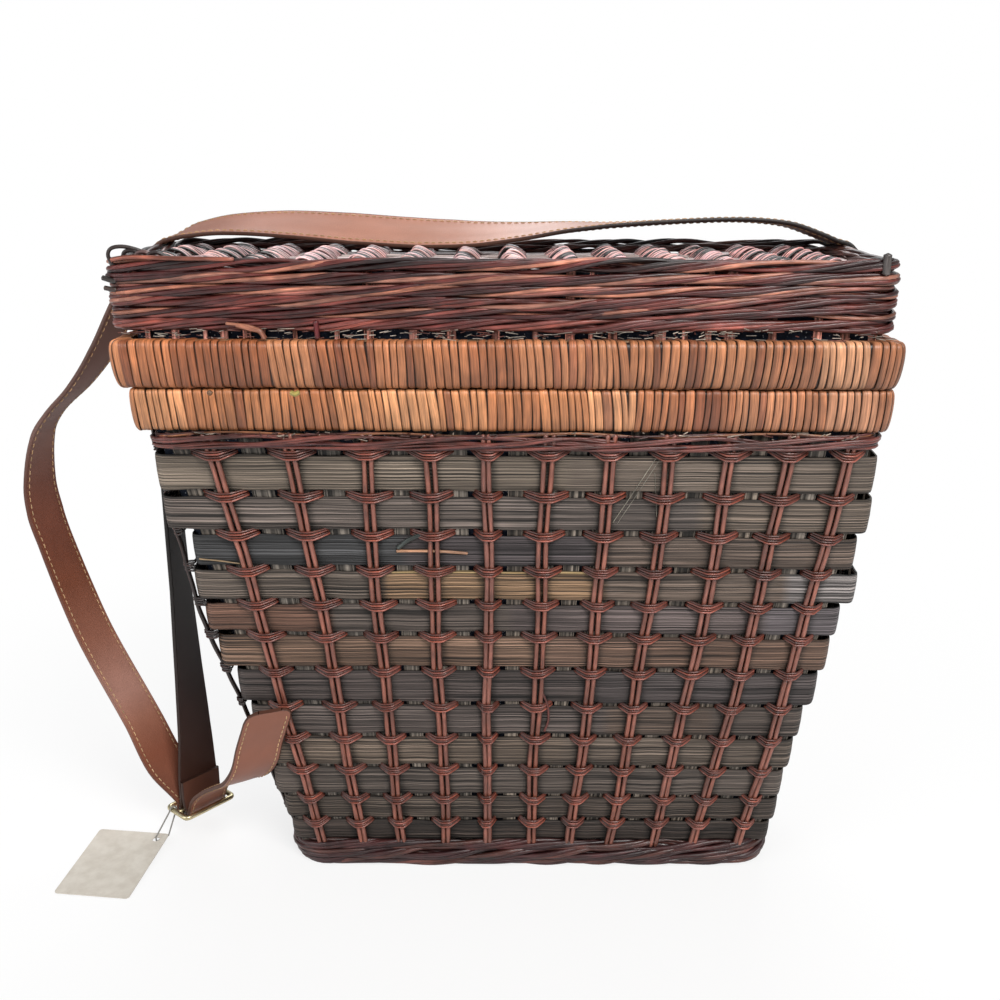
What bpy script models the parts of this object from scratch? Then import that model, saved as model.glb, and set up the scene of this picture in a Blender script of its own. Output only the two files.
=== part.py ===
"""A lidded wicker picnic basket with a leather shoulder strap, as separate sub-parts.

Metres, +Z up, front towards -Y. The origin is on the floor, under the middle of the lid's rim.
The body tapers downwards: flat splint hoops lie on a wall of upright stakes, and pairs of
round wickers tie them down outside. The lid hangs on two leather hinges behind the rims.
"""

import math

import bmesh
import bpy
from mathutils import Vector

# Rims, which set the basket's width and depth
RIM_WIDTH = 0.401
RIM_DEPTH = 0.140
RIM_CORNER = 0.0065
TIGHT_CORNER = 0.0020
BODY_RIM_INSET = 0.0048
BODY_SHIFT = 0.0035
BODY_RIM_HEIGHT = 0.0212
LID_RIM_HEIGHT = 0.0237
SEAM_GAP = 0.0018
CANE_THICKNESS = 0.0010
INNER_HOOP_THICKNESS = 0.0035
INNER_HOOP_HEIGHT = 0.017

# Body wall
WALL_HEIGHT = 0.274
WALL_BASE_WIDTH = 0.286
WALL_BASE_DEPTH = 0.080
WALL_CORNER = 0.012
WALL_RIM_STEP = 0.0040
WALL_LEAN = 0.0100
SPLINT_THICKNESS = 0.0014
STAKE_THICKNESS = 0.0015
LINING_THICKNESS = 0.0008
ROW_GAP = 0.0046
TIE_HEIGHT_SHARES = (
    0.951, 0.868, 0.788, 0.711, 0.637, 0.565, 0.485, 0.403, 0.325, 0.249, 0.174, 0.111, 0.063,
)
WALL_LEVEL_SHARES = (0.062, 0.25, 0.45, 0.63, 0.82, 1.0)

# Upright wickers outside the hoops
WICKER_RADIUS = 0.0013
WEAVER_RADIUS = 0.0011
PAIR_HALF_SPACING = 0.0016
FRONT_COLUMN_TOP_SHARES = (-0.82, -0.61, -0.42, -0.235, -0.075, 0.09, 0.26, 0.425, 0.59, 0.755, 0.915)
FRONT_COLUMN_BASE_SHARES = (-0.84, -0.675, -0.505, -0.335, -0.167, 0.005, 0.178, 0.333, 0.505, 0.665, 0.875)
SIDE_COLUMN_SHARES = (-0.72, -0.25, 0.25, 0.72)

# Base and rope bands
BORDER_RADIUS = 0.0082
BORDER_FLAT = 0.004
BASE_THICKNESS = 0.007
BAND_HEIGHT = 0.0068
BAND_THICKNESS = 0.0036

# Lid
LID_HEIGHT = 0.0639
LID_SKIRT_STEP = 0.0060
WALING_COUNT = 5
WALING_THICKNESS = 0.0036
LID_BORDER_RADIUS = 0.0034
LID_SPLINT_COUNT = 6
LID_SPLINT_GAP = 0.0035

# Hinges
HINGE_WIDTH = 0.018
HINGE_THICKNESS = 0.0020
HINGE_SPREAD = 0.240
HINGE_DROP = 0.0185

# Strap
STRAP_WIDTH = 0.0275
STRAP_THICKNESS = 0.0024
STRAP_FROM_BACK = 0.025
STRAP_HUMP = 0.0165
STRAP_BOW = 0.0715
STRAP_ANCHOR_FROM_BACK = 0.041
RIVET_RADIUS = 0.0045
RIVET_SHANK = 0.0018
RIVET_HEAD = 0.0014

# Buckle, below the left side
BUCKLE_INSET = 0.0078
BUCKLE_Y = -0.0028
BUCKLE_HEIGHT = 0.0165
BUCKLE_TURN = math.radians(49.3)
BUCKLE_LENGTH = 0.0344
BUCKLE_WIDTH = 0.020
BUCKLE_WIRE = 0.0016
TAIL_REACH = 0.110

# Hang tag on the floor
TAG_WIDTH = 0.0450
TAG_LENGTH = 0.0600
TAG_THICKNESS = 0.0006
TAG_LEFT_OF_BUCKLE = 0.0423
TAG_AHEAD_OF_BUCKLE = 0.0435
TAG_TURN = math.radians(-6.5)
TAG_TILT = math.radians(2.6)
TAG_HOLE_RADIUS = 0.0022
TAG_HOLE_INSET = 0.006
TAG_LOOP_WIRE = 0.0005

# Fits and overruns
GAP = 0.0003
OVERRUN = 0.004
CORNER_STEPS = 4
SIDE_COUNT = 8

# Values worked out from the sizes above
BODY_RIM_HALF_WIDTH = RIM_WIDTH / 2 - BODY_RIM_INSET
BODY_RIM_HALF_DEPTH = RIM_DEPTH / 2 - BODY_RIM_INSET
SEAM_BELOW = WALL_HEIGHT + BODY_RIM_HEIGHT
SEAM_ABOVE = SEAM_BELOW + SEAM_GAP
LID_TOP = SEAM_BELOW + SEAM_GAP / 2 + LID_HEIGHT
LID_RIM_TOP = SEAM_ABOVE + LID_RIM_HEIGHT
STAKE_INSET = SPLINT_THICKNESS + GAP
LINING_INSET = STAKE_INSET + STAKE_THICKNESS + GAP
WICKER_STANDOFF = 2 * GAP + WICKER_RADIUS
LID_STAKE_INSET = LID_SKIRT_STEP + WALING_THICKNESS + GAP
LID_LINING_INSET = LID_STAKE_INSET + STAKE_THICKNESS + GAP
LID_HOOP_INSET = LID_LINING_INSET + LINING_THICKNESS + GAP
LID_SPLINT_BOTTOM = LID_TOP - 2 * LID_BORDER_RADIUS - GAP
LID_LINING_TOP = LID_SPLINT_BOTTOM - GAP
LID_SPLINT_TOP = LID_SPLINT_BOTTOM + SPLINT_THICKNESS
STRAP_SETBACK = RIM_DEPTH / 2 - STRAP_FROM_BACK
STRAP_ANCHOR_SETBACK = RIM_DEPTH / 2 - STRAP_ANCHOR_FROM_BACK
BUCKLE_X = BUCKLE_INSET - RIM_WIDTH / 2
TAG_X = BUCKLE_X - TAG_LEFT_OF_BUCKLE
TAG_Y = BUCKLE_Y - TAG_AHEAD_OF_BUCKLE
BUCKLE_CENTRE = Vector((BUCKLE_X, BUCKLE_Y, BUCKLE_HEIGHT))
BUCKLE_ALONG = Vector((math.cos(BUCKLE_TURN), math.sin(BUCKLE_TURN), 0))
BUCKLE_BACK = Vector((-math.sin(BUCKLE_TURN), math.cos(BUCKLE_TURN), 0))
UP = Vector((0, 0, 1))
ALONG_Y = Vector((0, 1, 0))


def start_scene():
    for obj in list(bpy.data.objects):
        bpy.data.objects.remove(obj, do_unlink=True)
    collections = []
    for name in ("wicker_picnic_basket", "cutters"):
        collection = bpy.data.collections.new(name)
        bpy.context.scene.collection.children.link(collection)
        collections.append(collection)
    return collections


PARTS, HELPERS = start_scene()


def material(name, colour, roughness, metallic=0.0):
    made = bpy.data.materials.new(name)
    made.use_nodes = True
    shader = made.node_tree.nodes["Principled BSDF"]
    shader.inputs["Base Color"].default_value = (*colour, 1)
    shader.inputs["Roughness"].default_value = roughness
    shader.inputs["Metallic"].default_value = metallic
    made.diffuse_color = (*colour, 1)
    return made


SPLINT = material("splint", (0.105, 0.088, 0.072), 0.7)
STAKE = material("stake", (0.045, 0.042, 0.040), 0.75)
WICKER = material("wicker", (0.290, 0.080, 0.050), 0.45)
ROPE = material("rope", (0.110, 0.030, 0.026), 0.5)
CANE = material("cane", (0.480, 0.230, 0.110), 0.4)
WOOD = material("rim_wood", (0.300, 0.180, 0.090), 0.7)
FABRIC = material("lining_fabric", (0.020, 0.030, 0.055), 0.9)
LEATHER = material("leather", (0.200, 0.055, 0.030), 0.45)
BRASS = material("brass", (0.600, 0.520, 0.330), 0.3, 1.0)
CARD = material("card", (0.700, 0.670, 0.620), 0.8)


def add_part(name, mesh, finish, collection=PARTS):
    obj = bpy.data.objects.new(name, mesh)
    mesh.materials.clear()
    mesh.materials.append(finish)
    collection.objects.link(obj)
    return obj


def mark_helper(obj):
    """Moves an object to the helpers, which aren't sub-parts."""
    for collection in list(obj.users_collection):
        collection.objects.unlink(obj)
    HELPERS.objects.link(obj)
    obj.hide_render = True
    obj.display_type = "WIRE"
    return obj


def thicken(obj, thickness, offset=0.0):
    modifier = obj.modifiers.new("Solidify", "SOLIDIFY")
    modifier.thickness = thickness
    modifier.offset = offset
    modifier.use_even_offset = True


def boolean(obj, other, operation):
    modifier = obj.modifiers.new(operation.title(), "BOOLEAN")
    modifier.operation = operation
    modifier.object = other
    modifier.solver = "EXACT"


def mix(low, high, share):
    return low + (high - low) * share


# Outlines of the rims and of the wall, seen from above


def rounded_outline(half_width, half_depth, corner, height, centre_x=0.0):
    """Points anticlockwise round a rounded rectangle, the same number for every size."""
    corner = max(corner, TIGHT_CORNER)
    points = []
    for quarter, (side_x, side_y) in enumerate(((1, 1), (-1, 1), (-1, -1), (1, -1))):
        for step in range(CORNER_STEPS + 1):
            angle = math.pi / 2 * (quarter + step / CORNER_STEPS)
            x = centre_x + side_x * (half_width - corner) + corner * math.cos(angle)
            y = side_y * (half_depth - corner) + corner * math.sin(angle)
            points.append(Vector((x, y, height)))
    return points


def rim_outline(out, height):
    """The lid rim's outline, moved out by a distance."""
    return rounded_outline(RIM_WIDTH / 2 + out, RIM_DEPTH / 2 + out, RIM_CORNER + out, height)


def body_rim_outline(out, height):
    """The body rim's outline. The body stands a little to the right of the lid."""
    return rounded_outline(
        BODY_RIM_HALF_WIDTH + out,
        BODY_RIM_HALF_DEPTH + out,
        RIM_CORNER - BODY_RIM_INSET + out,
        height,
        BODY_SHIFT,
    )


def wall_share(height):
    return min(max(height / WALL_HEIGHT, 0.0), 1.0)


def wall_half_width(height):
    return mix(WALL_BASE_WIDTH / 2, BODY_RIM_HALF_WIDTH - WALL_RIM_STEP, wall_share(height))


def wall_half_depth(height):
    return mix(WALL_BASE_DEPTH / 2, BODY_RIM_HALF_DEPTH - WALL_RIM_STEP, wall_share(height))


def wall_centre(height):
    """The wall leans a little to the right on its way down."""
    return BODY_SHIFT + WALL_LEAN * (1 - wall_share(height) ** 2)


def wall_outline(out, height):
    """The outer face of the splint hoops at a height, moved out by a distance."""
    return rounded_outline(
        wall_half_width(height) + out,
        wall_half_depth(height) + out,
        WALL_CORNER + out,
        height,
        wall_centre(height),
    )


# Shapes


def loft(name, sections, finish, closed_profile=True, floor=False):
    """A ring lofted through outlines of equally many points."""
    mesh = bpy.data.meshes.new(name)
    bm = bmesh.new()
    rings = [[bm.verts.new(point) for point in section] for section in sections]
    pairs = list(zip(rings, rings[1:]))
    if closed_profile:
        pairs.append((rings[-1], rings[0]))
    for lower, upper in pairs:
        for index in range(len(lower)):
            after = (index + 1) % len(lower)
            bm.faces.new((lower[index], lower[after], upper[after], upper[index]))
    if floor:
        bm.faces.new(rings[0])
    bmesh.ops.recalc_face_normals(bm, faces=bm.faces)
    bm.to_mesh(mesh)
    bm.free()
    mesh.shade_smooth()
    mesh.set_sharp_from_angle(angle=math.radians(40))
    return add_part(name, mesh, finish)


def round_profile(half_thickness, half_height, middle_out, middle_height):
    """Points round a rope's section, as distances out and heights."""
    points = []
    for side in range(SIDE_COUNT):
        angle = 2 * math.pi * (side + 0.5) / SIDE_COUNT
        out = middle_out + half_thickness * math.cos(angle)
        points.append((out, middle_height + half_height * math.sin(angle)))
    return points


def rope_ring(name, outline, half_thickness, half_height, middle_out, middle_height, finish):
    profile = round_profile(half_thickness, half_height, middle_out, middle_height)
    return loft(name, [outline(out, height) for out, height in profile], finish)


def tube_mesh(name, points, radius, sides=6, closed=False):
    """A round bar along points, as a mesh object whose caps are welded."""
    curve = bpy.data.curves.new(name, "CURVE")
    curve.dimensions = "3D"
    curve.bevel_depth = radius
    curve.bevel_resolution = (sides - 4) // 2
    curve.use_fill_caps = not closed
    spline = curve.splines.new("POLY")
    spline.points.add(len(points) - 1)
    spline.use_cyclic_u = closed
    for control, point in zip(spline.points, points):
        control.co = (*point, 1)
    guide = bpy.data.objects.new(name + "_curve", curve)
    PARTS.objects.link(guide)
    bpy.context.view_layer.update()
    graph = bpy.context.evaluated_depsgraph_get()
    mesh = bpy.data.meshes.new_from_object(guide.evaluated_get(graph))
    bpy.data.objects.remove(guide, do_unlink=True)
    bm = bmesh.new()
    bm.from_mesh(mesh)
    bmesh.ops.remove_doubles(bm, verts=bm.verts, dist=radius / 100)
    bmesh.ops.recalc_face_normals(bm, faces=bm.faces)
    bm.to_mesh(mesh)
    bm.free()
    mesh.shade_smooth()
    return mesh


def joined_tubes(name, paths, radius, finish):
    """Several tubes in one helper object, ready for a Boolean."""
    bm = bmesh.new()
    for path in paths:
        piece = tube_mesh(name, path, radius)
        bm.from_mesh(piece)
        bpy.data.meshes.remove(piece)
    mesh = bpy.data.meshes.new(name)
    bm.to_mesh(mesh)
    bm.free()
    return mark_helper(add_part(name, mesh, finish))


def cylinder(name, start, end, radius, finish, segments=16):
    """A round bar between two points."""
    direction = end - start
    mesh = bpy.data.meshes.new(name)
    bm = bmesh.new()
    bmesh.ops.create_cone(
        bm,
        cap_ends=True,
        segments=segments,
        radius1=radius,
        radius2=radius,
        depth=direction.length,
    )
    bm.to_mesh(mesh)
    bm.free()
    mesh.shade_smooth()
    mesh.set_sharp_from_angle(angle=math.radians(40))
    obj = add_part(name, mesh, finish)
    obj.location = (start + end) / 2
    obj.rotation_mode = "QUATERNION"
    obj.rotation_quaternion = UP.rotation_difference(direction.normalized())
    return obj


def block(name, size, location, finish):
    mesh = bpy.data.meshes.new(name)
    bm = bmesh.new()
    bmesh.ops.create_cube(bm, size=1)
    bmesh.ops.scale(bm, vec=size, verts=bm.verts)
    bm.to_mesh(mesh)
    bm.free()
    obj = add_part(name, mesh, finish)
    obj.location = location
    return obj


# Straps: a station holds the middle of the strap, the way across it, and its width


def station(middle, across, width=STRAP_WIDTH):
    return (Vector(middle), Vector(across).normalized(), width)


def smooth_stations(stations, steps=3):
    """Stations on a smooth curve through the given ones, and the given ones too."""
    middles = [item[0] for item in stations]
    ways = []
    for index in range(len(stations)):
        before = middles[max(index - 1, 0)]
        after = middles[min(index + 1, len(stations) - 1)]
        ways.append((after - before).normalized())
    made = []
    for index, (start, end) in enumerate(zip(stations, stations[1:])):
        span = (end[0] - start[0]).length
        for step in range(steps):
            share = step / steps
            middle = curve_point(start[0], ways[index] * span, end[0], ways[index + 1] * span, share)
            across = start[1].lerp(end[1], share).normalized()
            made.append((middle, across, mix(start[2], end[2], share)))
    made.append(stations[-1])
    return made


def curve_point(start, start_pull, end, end_pull, share):
    """A point of the cubic curve that leaves and arrives with the given pulls."""
    rest = 1 - share
    start_part = start * (1 + 2 * share) * rest**2 + start_pull * share * rest**2
    return start_part + end * share**2 * (3 - 2 * share) - end_pull * share**2 * rest


def ribbon(name, stations, finish, thickness=STRAP_THICKNESS):
    """A flat band through stations."""
    mesh = bpy.data.meshes.new(name)
    bm = bmesh.new()
    rails = []
    for middle, across, width in stations:
        half = across * (width / 2)
        rails.append((bm.verts.new(middle - half), bm.verts.new(middle + half)))
    for (near, far), (next_near, next_far) in zip(rails, rails[1:]):
        bm.faces.new((near, far, next_far, next_near))
    bm.to_mesh(mesh)
    bm.free()
    mesh.shade_smooth()
    obj = add_part(name, mesh, finish)
    thicken(obj, thickness)
    return obj


def cut_after(stations, index):
    """Two lists of stations, parted by the usual gap half-way to the next station."""
    (start, across, width), (end, _, _) = stations[index : index + 2]
    middle = (start + end) / 2
    step = (end - start).normalized() * (GAP / 2)
    return (
        stations[: index + 1] + [(middle - step, across, width)],
        [(middle + step, across, width)] + stations[index + 1 :],
    )


# Body


def tie_heights():
    return [WALL_HEIGHT * share for share in TIE_HEIGHT_SHARES]


def build_base():
    """The rope border that the basket stands on, and the base panel inside it."""
    profile = round_profile(BORDER_RADIUS, BORDER_RADIUS, -BORDER_RADIUS / 2, BORDER_RADIUS)
    flat = [(-BORDER_RADIUS / 2 + BORDER_FLAT, 0.0), (-BORDER_RADIUS / 2 - BORDER_FLAT, 0.0)]
    side = [(out, height) for out, height in profile if height > BORDER_RADIUS / 2]
    ring = [flat[0], *sorted(side, key=border_order, reverse=True), flat[1]]
    loft("base_border", [wall_outline(out, height) for out, height in ring], ROPE)
    inner = min(out for out, height in profile)
    low = wall_outline(inner - GAP, 0.0)
    high = wall_outline(inner - GAP, BASE_THICKNESS)
    mesh = bpy.data.meshes.new("base_panel")
    bm = bmesh.new()
    bm.faces.new([bm.verts.new(point) for point in low])
    made = bmesh.ops.extrude_face_region(bm, geom=list(bm.faces))
    top = [item for item in made["geom"] if isinstance(item, bmesh.types.BMVert)]
    bmesh.ops.translate(bm, vec=high[0] - low[0], verts=top)
    bmesh.ops.recalc_face_normals(bm, faces=bm.faces)
    bm.to_mesh(mesh)
    bm.free()
    add_part("base_panel", mesh, SPLINT)


def border_order(place):
    """The angle of a border point, so that the profile runs from its outer side over the top."""
    out, height = place
    return -math.atan2(height - BORDER_RADIUS, out + BORDER_RADIUS / 2) % (2 * math.pi)


def build_wall():
    """The wall of upright stakes, the lining inside it and the splint hoops outside it."""
    heights = [WALL_HEIGHT * share for share in WALL_LEVEL_SHARES]
    top = SEAM_BELOW - SEAM_GAP
    middle = -STAKE_INSET - STAKE_THICKNESS / 2
    levels = [wall_outline(middle, max(height, 2 * BORDER_RADIUS + GAP)) for height in heights]
    levels.append([Vector((point.x, point.y, top)) for point in levels[-1]])
    thicken(loft("body_stake_wall", levels, STAKE, False), STAKE_THICKNESS)
    middle = -LINING_INSET - LINING_THICKNESS / 2
    floor = BASE_THICKNESS + GAP + LINING_THICKNESS / 2
    corner_out = -BORDER_RADIUS * 1.5 - GAP - LINING_THICKNESS
    over_border = 2 * BORDER_RADIUS + GAP + LINING_THICKNESS
    levels = [wall_outline(corner_out, height) for height in (floor, over_border)]
    levels += [wall_outline(middle, max(height, 2 * BORDER_RADIUS + OVERRUN)) for height in heights]
    levels.append([Vector((point.x, point.y, top)) for point in levels[-1]])
    lining = loft("body_lining", levels, FABRIC, False, floor=True)
    thicken(lining, LINING_THICKNESS)
    for number, (high, low) in enumerate(zip(tie_heights(), tie_heights()[1:]), start=1):
        edges = (low + ROW_GAP / 2, high - ROW_GAP / 2)
        levels = [wall_outline(-SPLINT_THICKNESS / 2, height) for height in edges]
        hoop = loft(f"splint_hoop_{number:02d}", levels, SPLINT, False)
        thicken(hoop, SPLINT_THICKNESS)


def column_heights():
    """Heights at which an upright wicker has a point."""
    top = tie_heights()[0] + WICKER_RADIUS
    bottom = 2 * BORDER_RADIUS + GAP + WICKER_RADIUS
    return [mix(bottom, top, step / 3) for step in range(4)]


def front_point(share_top, share_base, offset, height, facing):
    """A point of a wicker on the front, facing -1, or on the back, facing 1."""
    share = mix(share_base, share_top, wall_share(height))
    x = wall_centre(height) + share * wall_half_width(height) + offset
    return Vector((x, facing * (wall_half_depth(height) + WICKER_STANDOFF), height))


def side_point(share, offset, height, facing):
    x = wall_centre(height) + facing * (wall_half_width(height) + WICKER_STANDOFF)
    return Vector((x, share * wall_half_depth(height) + offset, height))


def build_uprights():
    """Pairs of wickers down each side, joined by the weaver of the first tie row."""
    height = tie_heights()[0]
    rail_out = 0.0
    for name, facing in (("front", -1), ("back", 1)):
        paths = []
        for top, base in zip(FRONT_COLUMN_TOP_SHARES, FRONT_COLUMN_BASE_SHARES):
            for offset in (-PAIR_HALF_SPACING, PAIR_HALF_SPACING):
                paths.append([front_point(top, base, offset, z, facing) for z in column_heights()])
        reach = FRONT_COLUMN_TOP_SHARES[-1] * wall_half_width(height) + 2 * PAIR_HALF_SPACING
        y = facing * (wall_half_depth(height) + rail_out)
        ends = [Vector((wall_centre(height) + side * reach, y, height)) for side in (-1, 1)]
        join_uprights(name, paths, ends)
    for name, facing in (("left", -1), ("right", 1)):
        paths = []
        for share in SIDE_COLUMN_SHARES:
            for offset in (-PAIR_HALF_SPACING, PAIR_HALF_SPACING):
                paths.append([side_point(share, offset, z, facing) for z in column_heights()])
        reach = SIDE_COLUMN_SHARES[-1] * wall_half_depth(height) + 2 * PAIR_HALF_SPACING
        x = wall_centre(height) + facing * (wall_half_width(height) + rail_out)
        ends = [Vector((x, side * reach, height)) for side in (-1, 1)]
        join_uprights(name, paths, ends)


def join_uprights(side, paths, rail_ends):
    name = "uprights_" + side
    rail = add_part(name, tube_mesh(name, rail_ends, WEAVER_RADIUS), WICKER)
    boolean(rail, joined_tubes(name + "_wickers", paths, WICKER_RADIUS, WICKER), "UNION")


# Rims: a cane winding, open on its inner side, round a wooden core

RIM_PROFILE_SHARES = ((1, 0), (0.62, 0), (0.36, 0.06), (0.16, 0.25), (0, 0.6), (0, 0.86), (0.14, 0.97), (0.42, 1), (1, 1))
CORE_PROFILE_SHARES = ((0.96, 0), (0.70, 0), (0.48, 0.25), (0.34, 0.6), (0.34, 0.84), (0.56, 1), (0.96, 1))


def build_rim(name, outline, thickness, low, height):
    half = CANE_THICKNESS / 2
    sections = []
    for inward, up in RIM_PROFILE_SHARES:
        out = mix(-half, -thickness, inward)
        sections.append(outline(out, mix(low + half, low + height - half, up)))
    thicken(loft(name + "_wrap", sections, CANE, False), CANE_THICKNESS)
    sections = []
    inset = CANE_THICKNESS + GAP
    for inward, up in CORE_PROFILE_SHARES:
        out = mix(0.0, -thickness, inward)
        sections.append(outline(out, mix(low + inset, low + height - inset, up)))
    loft(name + "_core", sections, WOOD)


def flat_ring(name, outline, outer, thickness, low, high, finish):
    places = ((outer, low), (outer, high), (outer - thickness, high), (outer - thickness, low))
    return loft(name, [outline(out, height) for out, height in places], finish)


def build_rims():
    body_thickness = WALL_RIM_STEP + STAKE_INSET - GAP
    build_rim("body_rim", body_rim_outline, body_thickness, WALL_HEIGHT, BODY_RIM_HEIGHT)
    build_rim("lid_rim", rim_outline, LID_STAKE_INSET - GAP, SEAM_ABOVE, LID_RIM_HEIGHT)
    inside = -WALL_RIM_STEP - LINING_INSET - LINING_THICKNESS - GAP
    low = SEAM_BELOW - SEAM_GAP - INNER_HOOP_HEIGHT
    flat_ring(
        "body_rim_inner_hoop",
        wall_top_outline,
        inside + WALL_RIM_STEP,
        INNER_HOOP_THICKNESS,
        low,
        SEAM_BELOW - SEAM_GAP,
        WOOD,
    )
    low = SEAM_ABOVE + GAP
    high = low + INNER_HOOP_HEIGHT
    flat_ring("lid_rim_inner_hoop", rim_outline, -LID_HOOP_INSET, INNER_HOOP_THICKNESS, low, high, WOOD)


def wall_top_outline(out, height):
    """The wall's outline at its top, carried up behind the body rim."""
    return [Vector((point.x, point.y, height)) for point in wall_outline(out, WALL_HEIGHT)]


# Lid


def build_lid_skirt():
    low = SEAM_ABOVE + GAP
    middle = -LID_STAKE_INSET - STAKE_THICKNESS / 2
    levels = [rim_outline(middle, height) for height in (low, LID_LINING_TOP)]
    thicken(loft("lid_stake_wall", levels, STAKE, False), STAKE_THICKNESS)
    middle = -LID_LINING_INSET - LINING_THICKNESS / 2
    ceiling = LID_LINING_TOP - LINING_THICKNESS / 2
    levels = [rim_outline(middle, height) for height in (ceiling, low)]
    thicken(loft("lid_lining", levels, FABRIC, False, floor=True), LINING_THICKNESS)
    room = LID_LINING_TOP - LID_RIM_TOP - 2 * GAP
    pitch = room / WALING_COUNT
    middle_out = -LID_SKIRT_STEP - WALING_THICKNESS / 2
    for number in range(WALING_COUNT):
        height = LID_RIM_TOP + GAP + pitch * (number + 0.5)
        rope_ring(
            f"lid_waling_{number + 1}",
            rim_outline,
            WALING_THICKNESS / 2,
            (pitch - GAP) / 2 / math.cos(math.pi / SIDE_COUNT),
            middle_out,
            height,
            ROPE,
        )
    rope_ring(
        "lid_top_border",
        rim_outline,
        LID_BORDER_RADIUS,
        LID_BORDER_RADIUS / math.cos(math.pi / SIDE_COUNT),
        -LID_SKIRT_STEP - LID_BORDER_RADIUS,
        LID_TOP - LID_BORDER_RADIUS,
        ROPE,
    )


def build_lid_top():
    """Splints from side to side, and the wickers that run over them from front to back."""
    inner = LID_SKIRT_STEP + 2 * LID_BORDER_RADIUS + GAP
    length = RIM_WIDTH - 2 * inner
    depth = RIM_DEPTH - 2 * inner
    pitch = depth / LID_SPLINT_COUNT
    for number in range(LID_SPLINT_COUNT):
        y = -depth / 2 + pitch * (number + 0.5)
        place = Vector((0, y, LID_SPLINT_BOTTOM + SPLINT_THICKNESS / 2))
        size = Vector((length, pitch - LID_SPLINT_GAP, SPLINT_THICKNESS))
        block(f"lid_splint_{number + 1}", size, place, SPLINT)
    height = LID_SPLINT_TOP + GAP + WICKER_RADIUS
    paths = []
    for share in FRONT_COLUMN_TOP_SHARES:
        x = share * length / 2
        for offset in (-PAIR_HALF_SPACING, PAIR_HALF_SPACING):
            paths.append([Vector((x + offset, side * (depth / 2 - GAP), height)) for side in (-1, 1)])
    reach = FRONT_COLUMN_TOP_SHARES[-1] * length / 2 + 2 * PAIR_HALF_SPACING
    rail_height = height - WICKER_RADIUS - GAP
    ends = [Vector((side * reach, 0, rail_height)) for side in (-1, 1)]
    rail = add_part("lid_top_wickers", tube_mesh("lid_top_wickers", ends, WEAVER_RADIUS), WICKER)
    boolean(rail, joined_tubes("lid_top_wicker_pairs", paths, WICKER_RADIUS, WICKER), "UNION")


# Hinges: leather tabs that meet at the lid's axis, behind the rims


def hinge_axis():
    return Vector((0, RIM_DEPTH / 2 + 2 * GAP + HINGE_THICKNESS, (SEAM_BELOW + SEAM_ABOVE) / 2))


def build_hinges():
    axis = hinge_axis()
    behind = axis.y - HINGE_THICKNESS / 2
    on_rim = BODY_RIM_HALF_DEPTH + GAP + HINGE_THICKNESS / 2
    bend = BODY_RIM_HEIGHT / 4
    for name, side in (("left", -1), ("right", 1)):
        x = side * HINGE_SPREAD / 2
        lower = (
            (on_rim, axis.z - HINGE_DROP),
            (on_rim, axis.z - 2 * bend),
            (behind, axis.z - bend / 2),
            (behind, axis.z - GAP),
        )
        upper = ((behind, axis.z + GAP), (behind, axis.z + HINGE_DROP))
        for half, places in (("lower", lower), ("upper", upper)):
            stations = [station((x, y, z), (1, 0, 0), HINGE_WIDTH) for y, z in places]
            ribbon(f"hinge_{half}_{name}", stations, LEATHER, HINGE_THICKNESS)


# Strap, from its right end over the lid, down the left side, through the buckle to its tail

OVER_LID_SHARES = (
    (0.975, 0.22, -3), (0.935, 0.36, -3), (0.895, 0.52, -3), (0.81, 0.84, -3), (0.725, 0.97, -3), (0.64, 1.0, -3),
    (0.533, 0.96, -3), (0.41, 0.88, -3), (0.29, 0.80, -1), (0.165, 0.72, 7), (0.045, 0.58, 16), (-0.08, 0.49, 25),
    (-0.15, 0.49, 29), (-0.26, 0.52, 32.5), (-0.445, 0.66, 34), (-0.632, 0.80, 28.5), (-0.80, 0.78, 19),
    (-0.90, 0.59, 12), (-0.95, 0.38, 4), (-0.980, 0.21, 0),
)
FALL_SHARES = (
    (0.00, 1.00, 1.000, 0), (0.10, 0.98, 0.970, 6), (0.30, 0.90, 0.905, 18), (0.50, 0.73, 0.815, 20),
    (0.68, 0.55, 0.757, 12), (0.88, 0.42, 0.712, 5), (0.965, 0.30, 0.676, 6), (1.00, 0.17, 0.595, 15),
    (0.96, 0.09, 0.542, 20), (0.90, 0.04, 0.499, 18), (0.76, 0.00, 0.398, 21), (0.615, -0.03, 0.308, 23),
    (0.30, -0.05, 0.150, 27), (0.13, -0.03, 0.052, 37),
)
TAIL_SHARES = (
    ((0.05, 0.00, 0.10), (0.653, 0.758, 0.0), 1),
    ((0.155, 0.00, 0.185), (0.68, 0.72, -0.10), 1),
    ((0.31, -0.03, 0.305), (0.75, 0.52, -0.30), 1),
    ((0.50, -0.07, 0.46), (0.82, 0.22, -0.45), 1),
    ((0.63, -0.085, 0.60), (0.84, 0.02, -0.52), 1),
    ((0.705, -0.075, 0.72), (0.84, -0.08, -0.53), 0.98),
    ((0.745, -0.06, 0.82), (0.84, -0.10, -0.53), 0.86),
    ((0.765, -0.05, 0.875), (0.84, -0.10, -0.53), 0.62),
    ((0.775, -0.045, 0.90), (0.84, -0.10, -0.53), 0.25),
)


def strap_rest_height():
    """Where the middle of the strap would lie if it lay flat on the lid."""
    return LID_TOP - STRAP_THICKNESS * 1.25


def over_lid_station(x_share, lift_share, tilt):
    angle = math.radians(tilt)
    middle = (
        x_share * (RIM_WIDTH / 2 + STRAP_THICKNESS),
        STRAP_SETBACK,
        strap_rest_height() + lift_share * STRAP_HUMP,
    )
    return station(middle, (0, math.cos(angle), math.sin(angle)))


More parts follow.
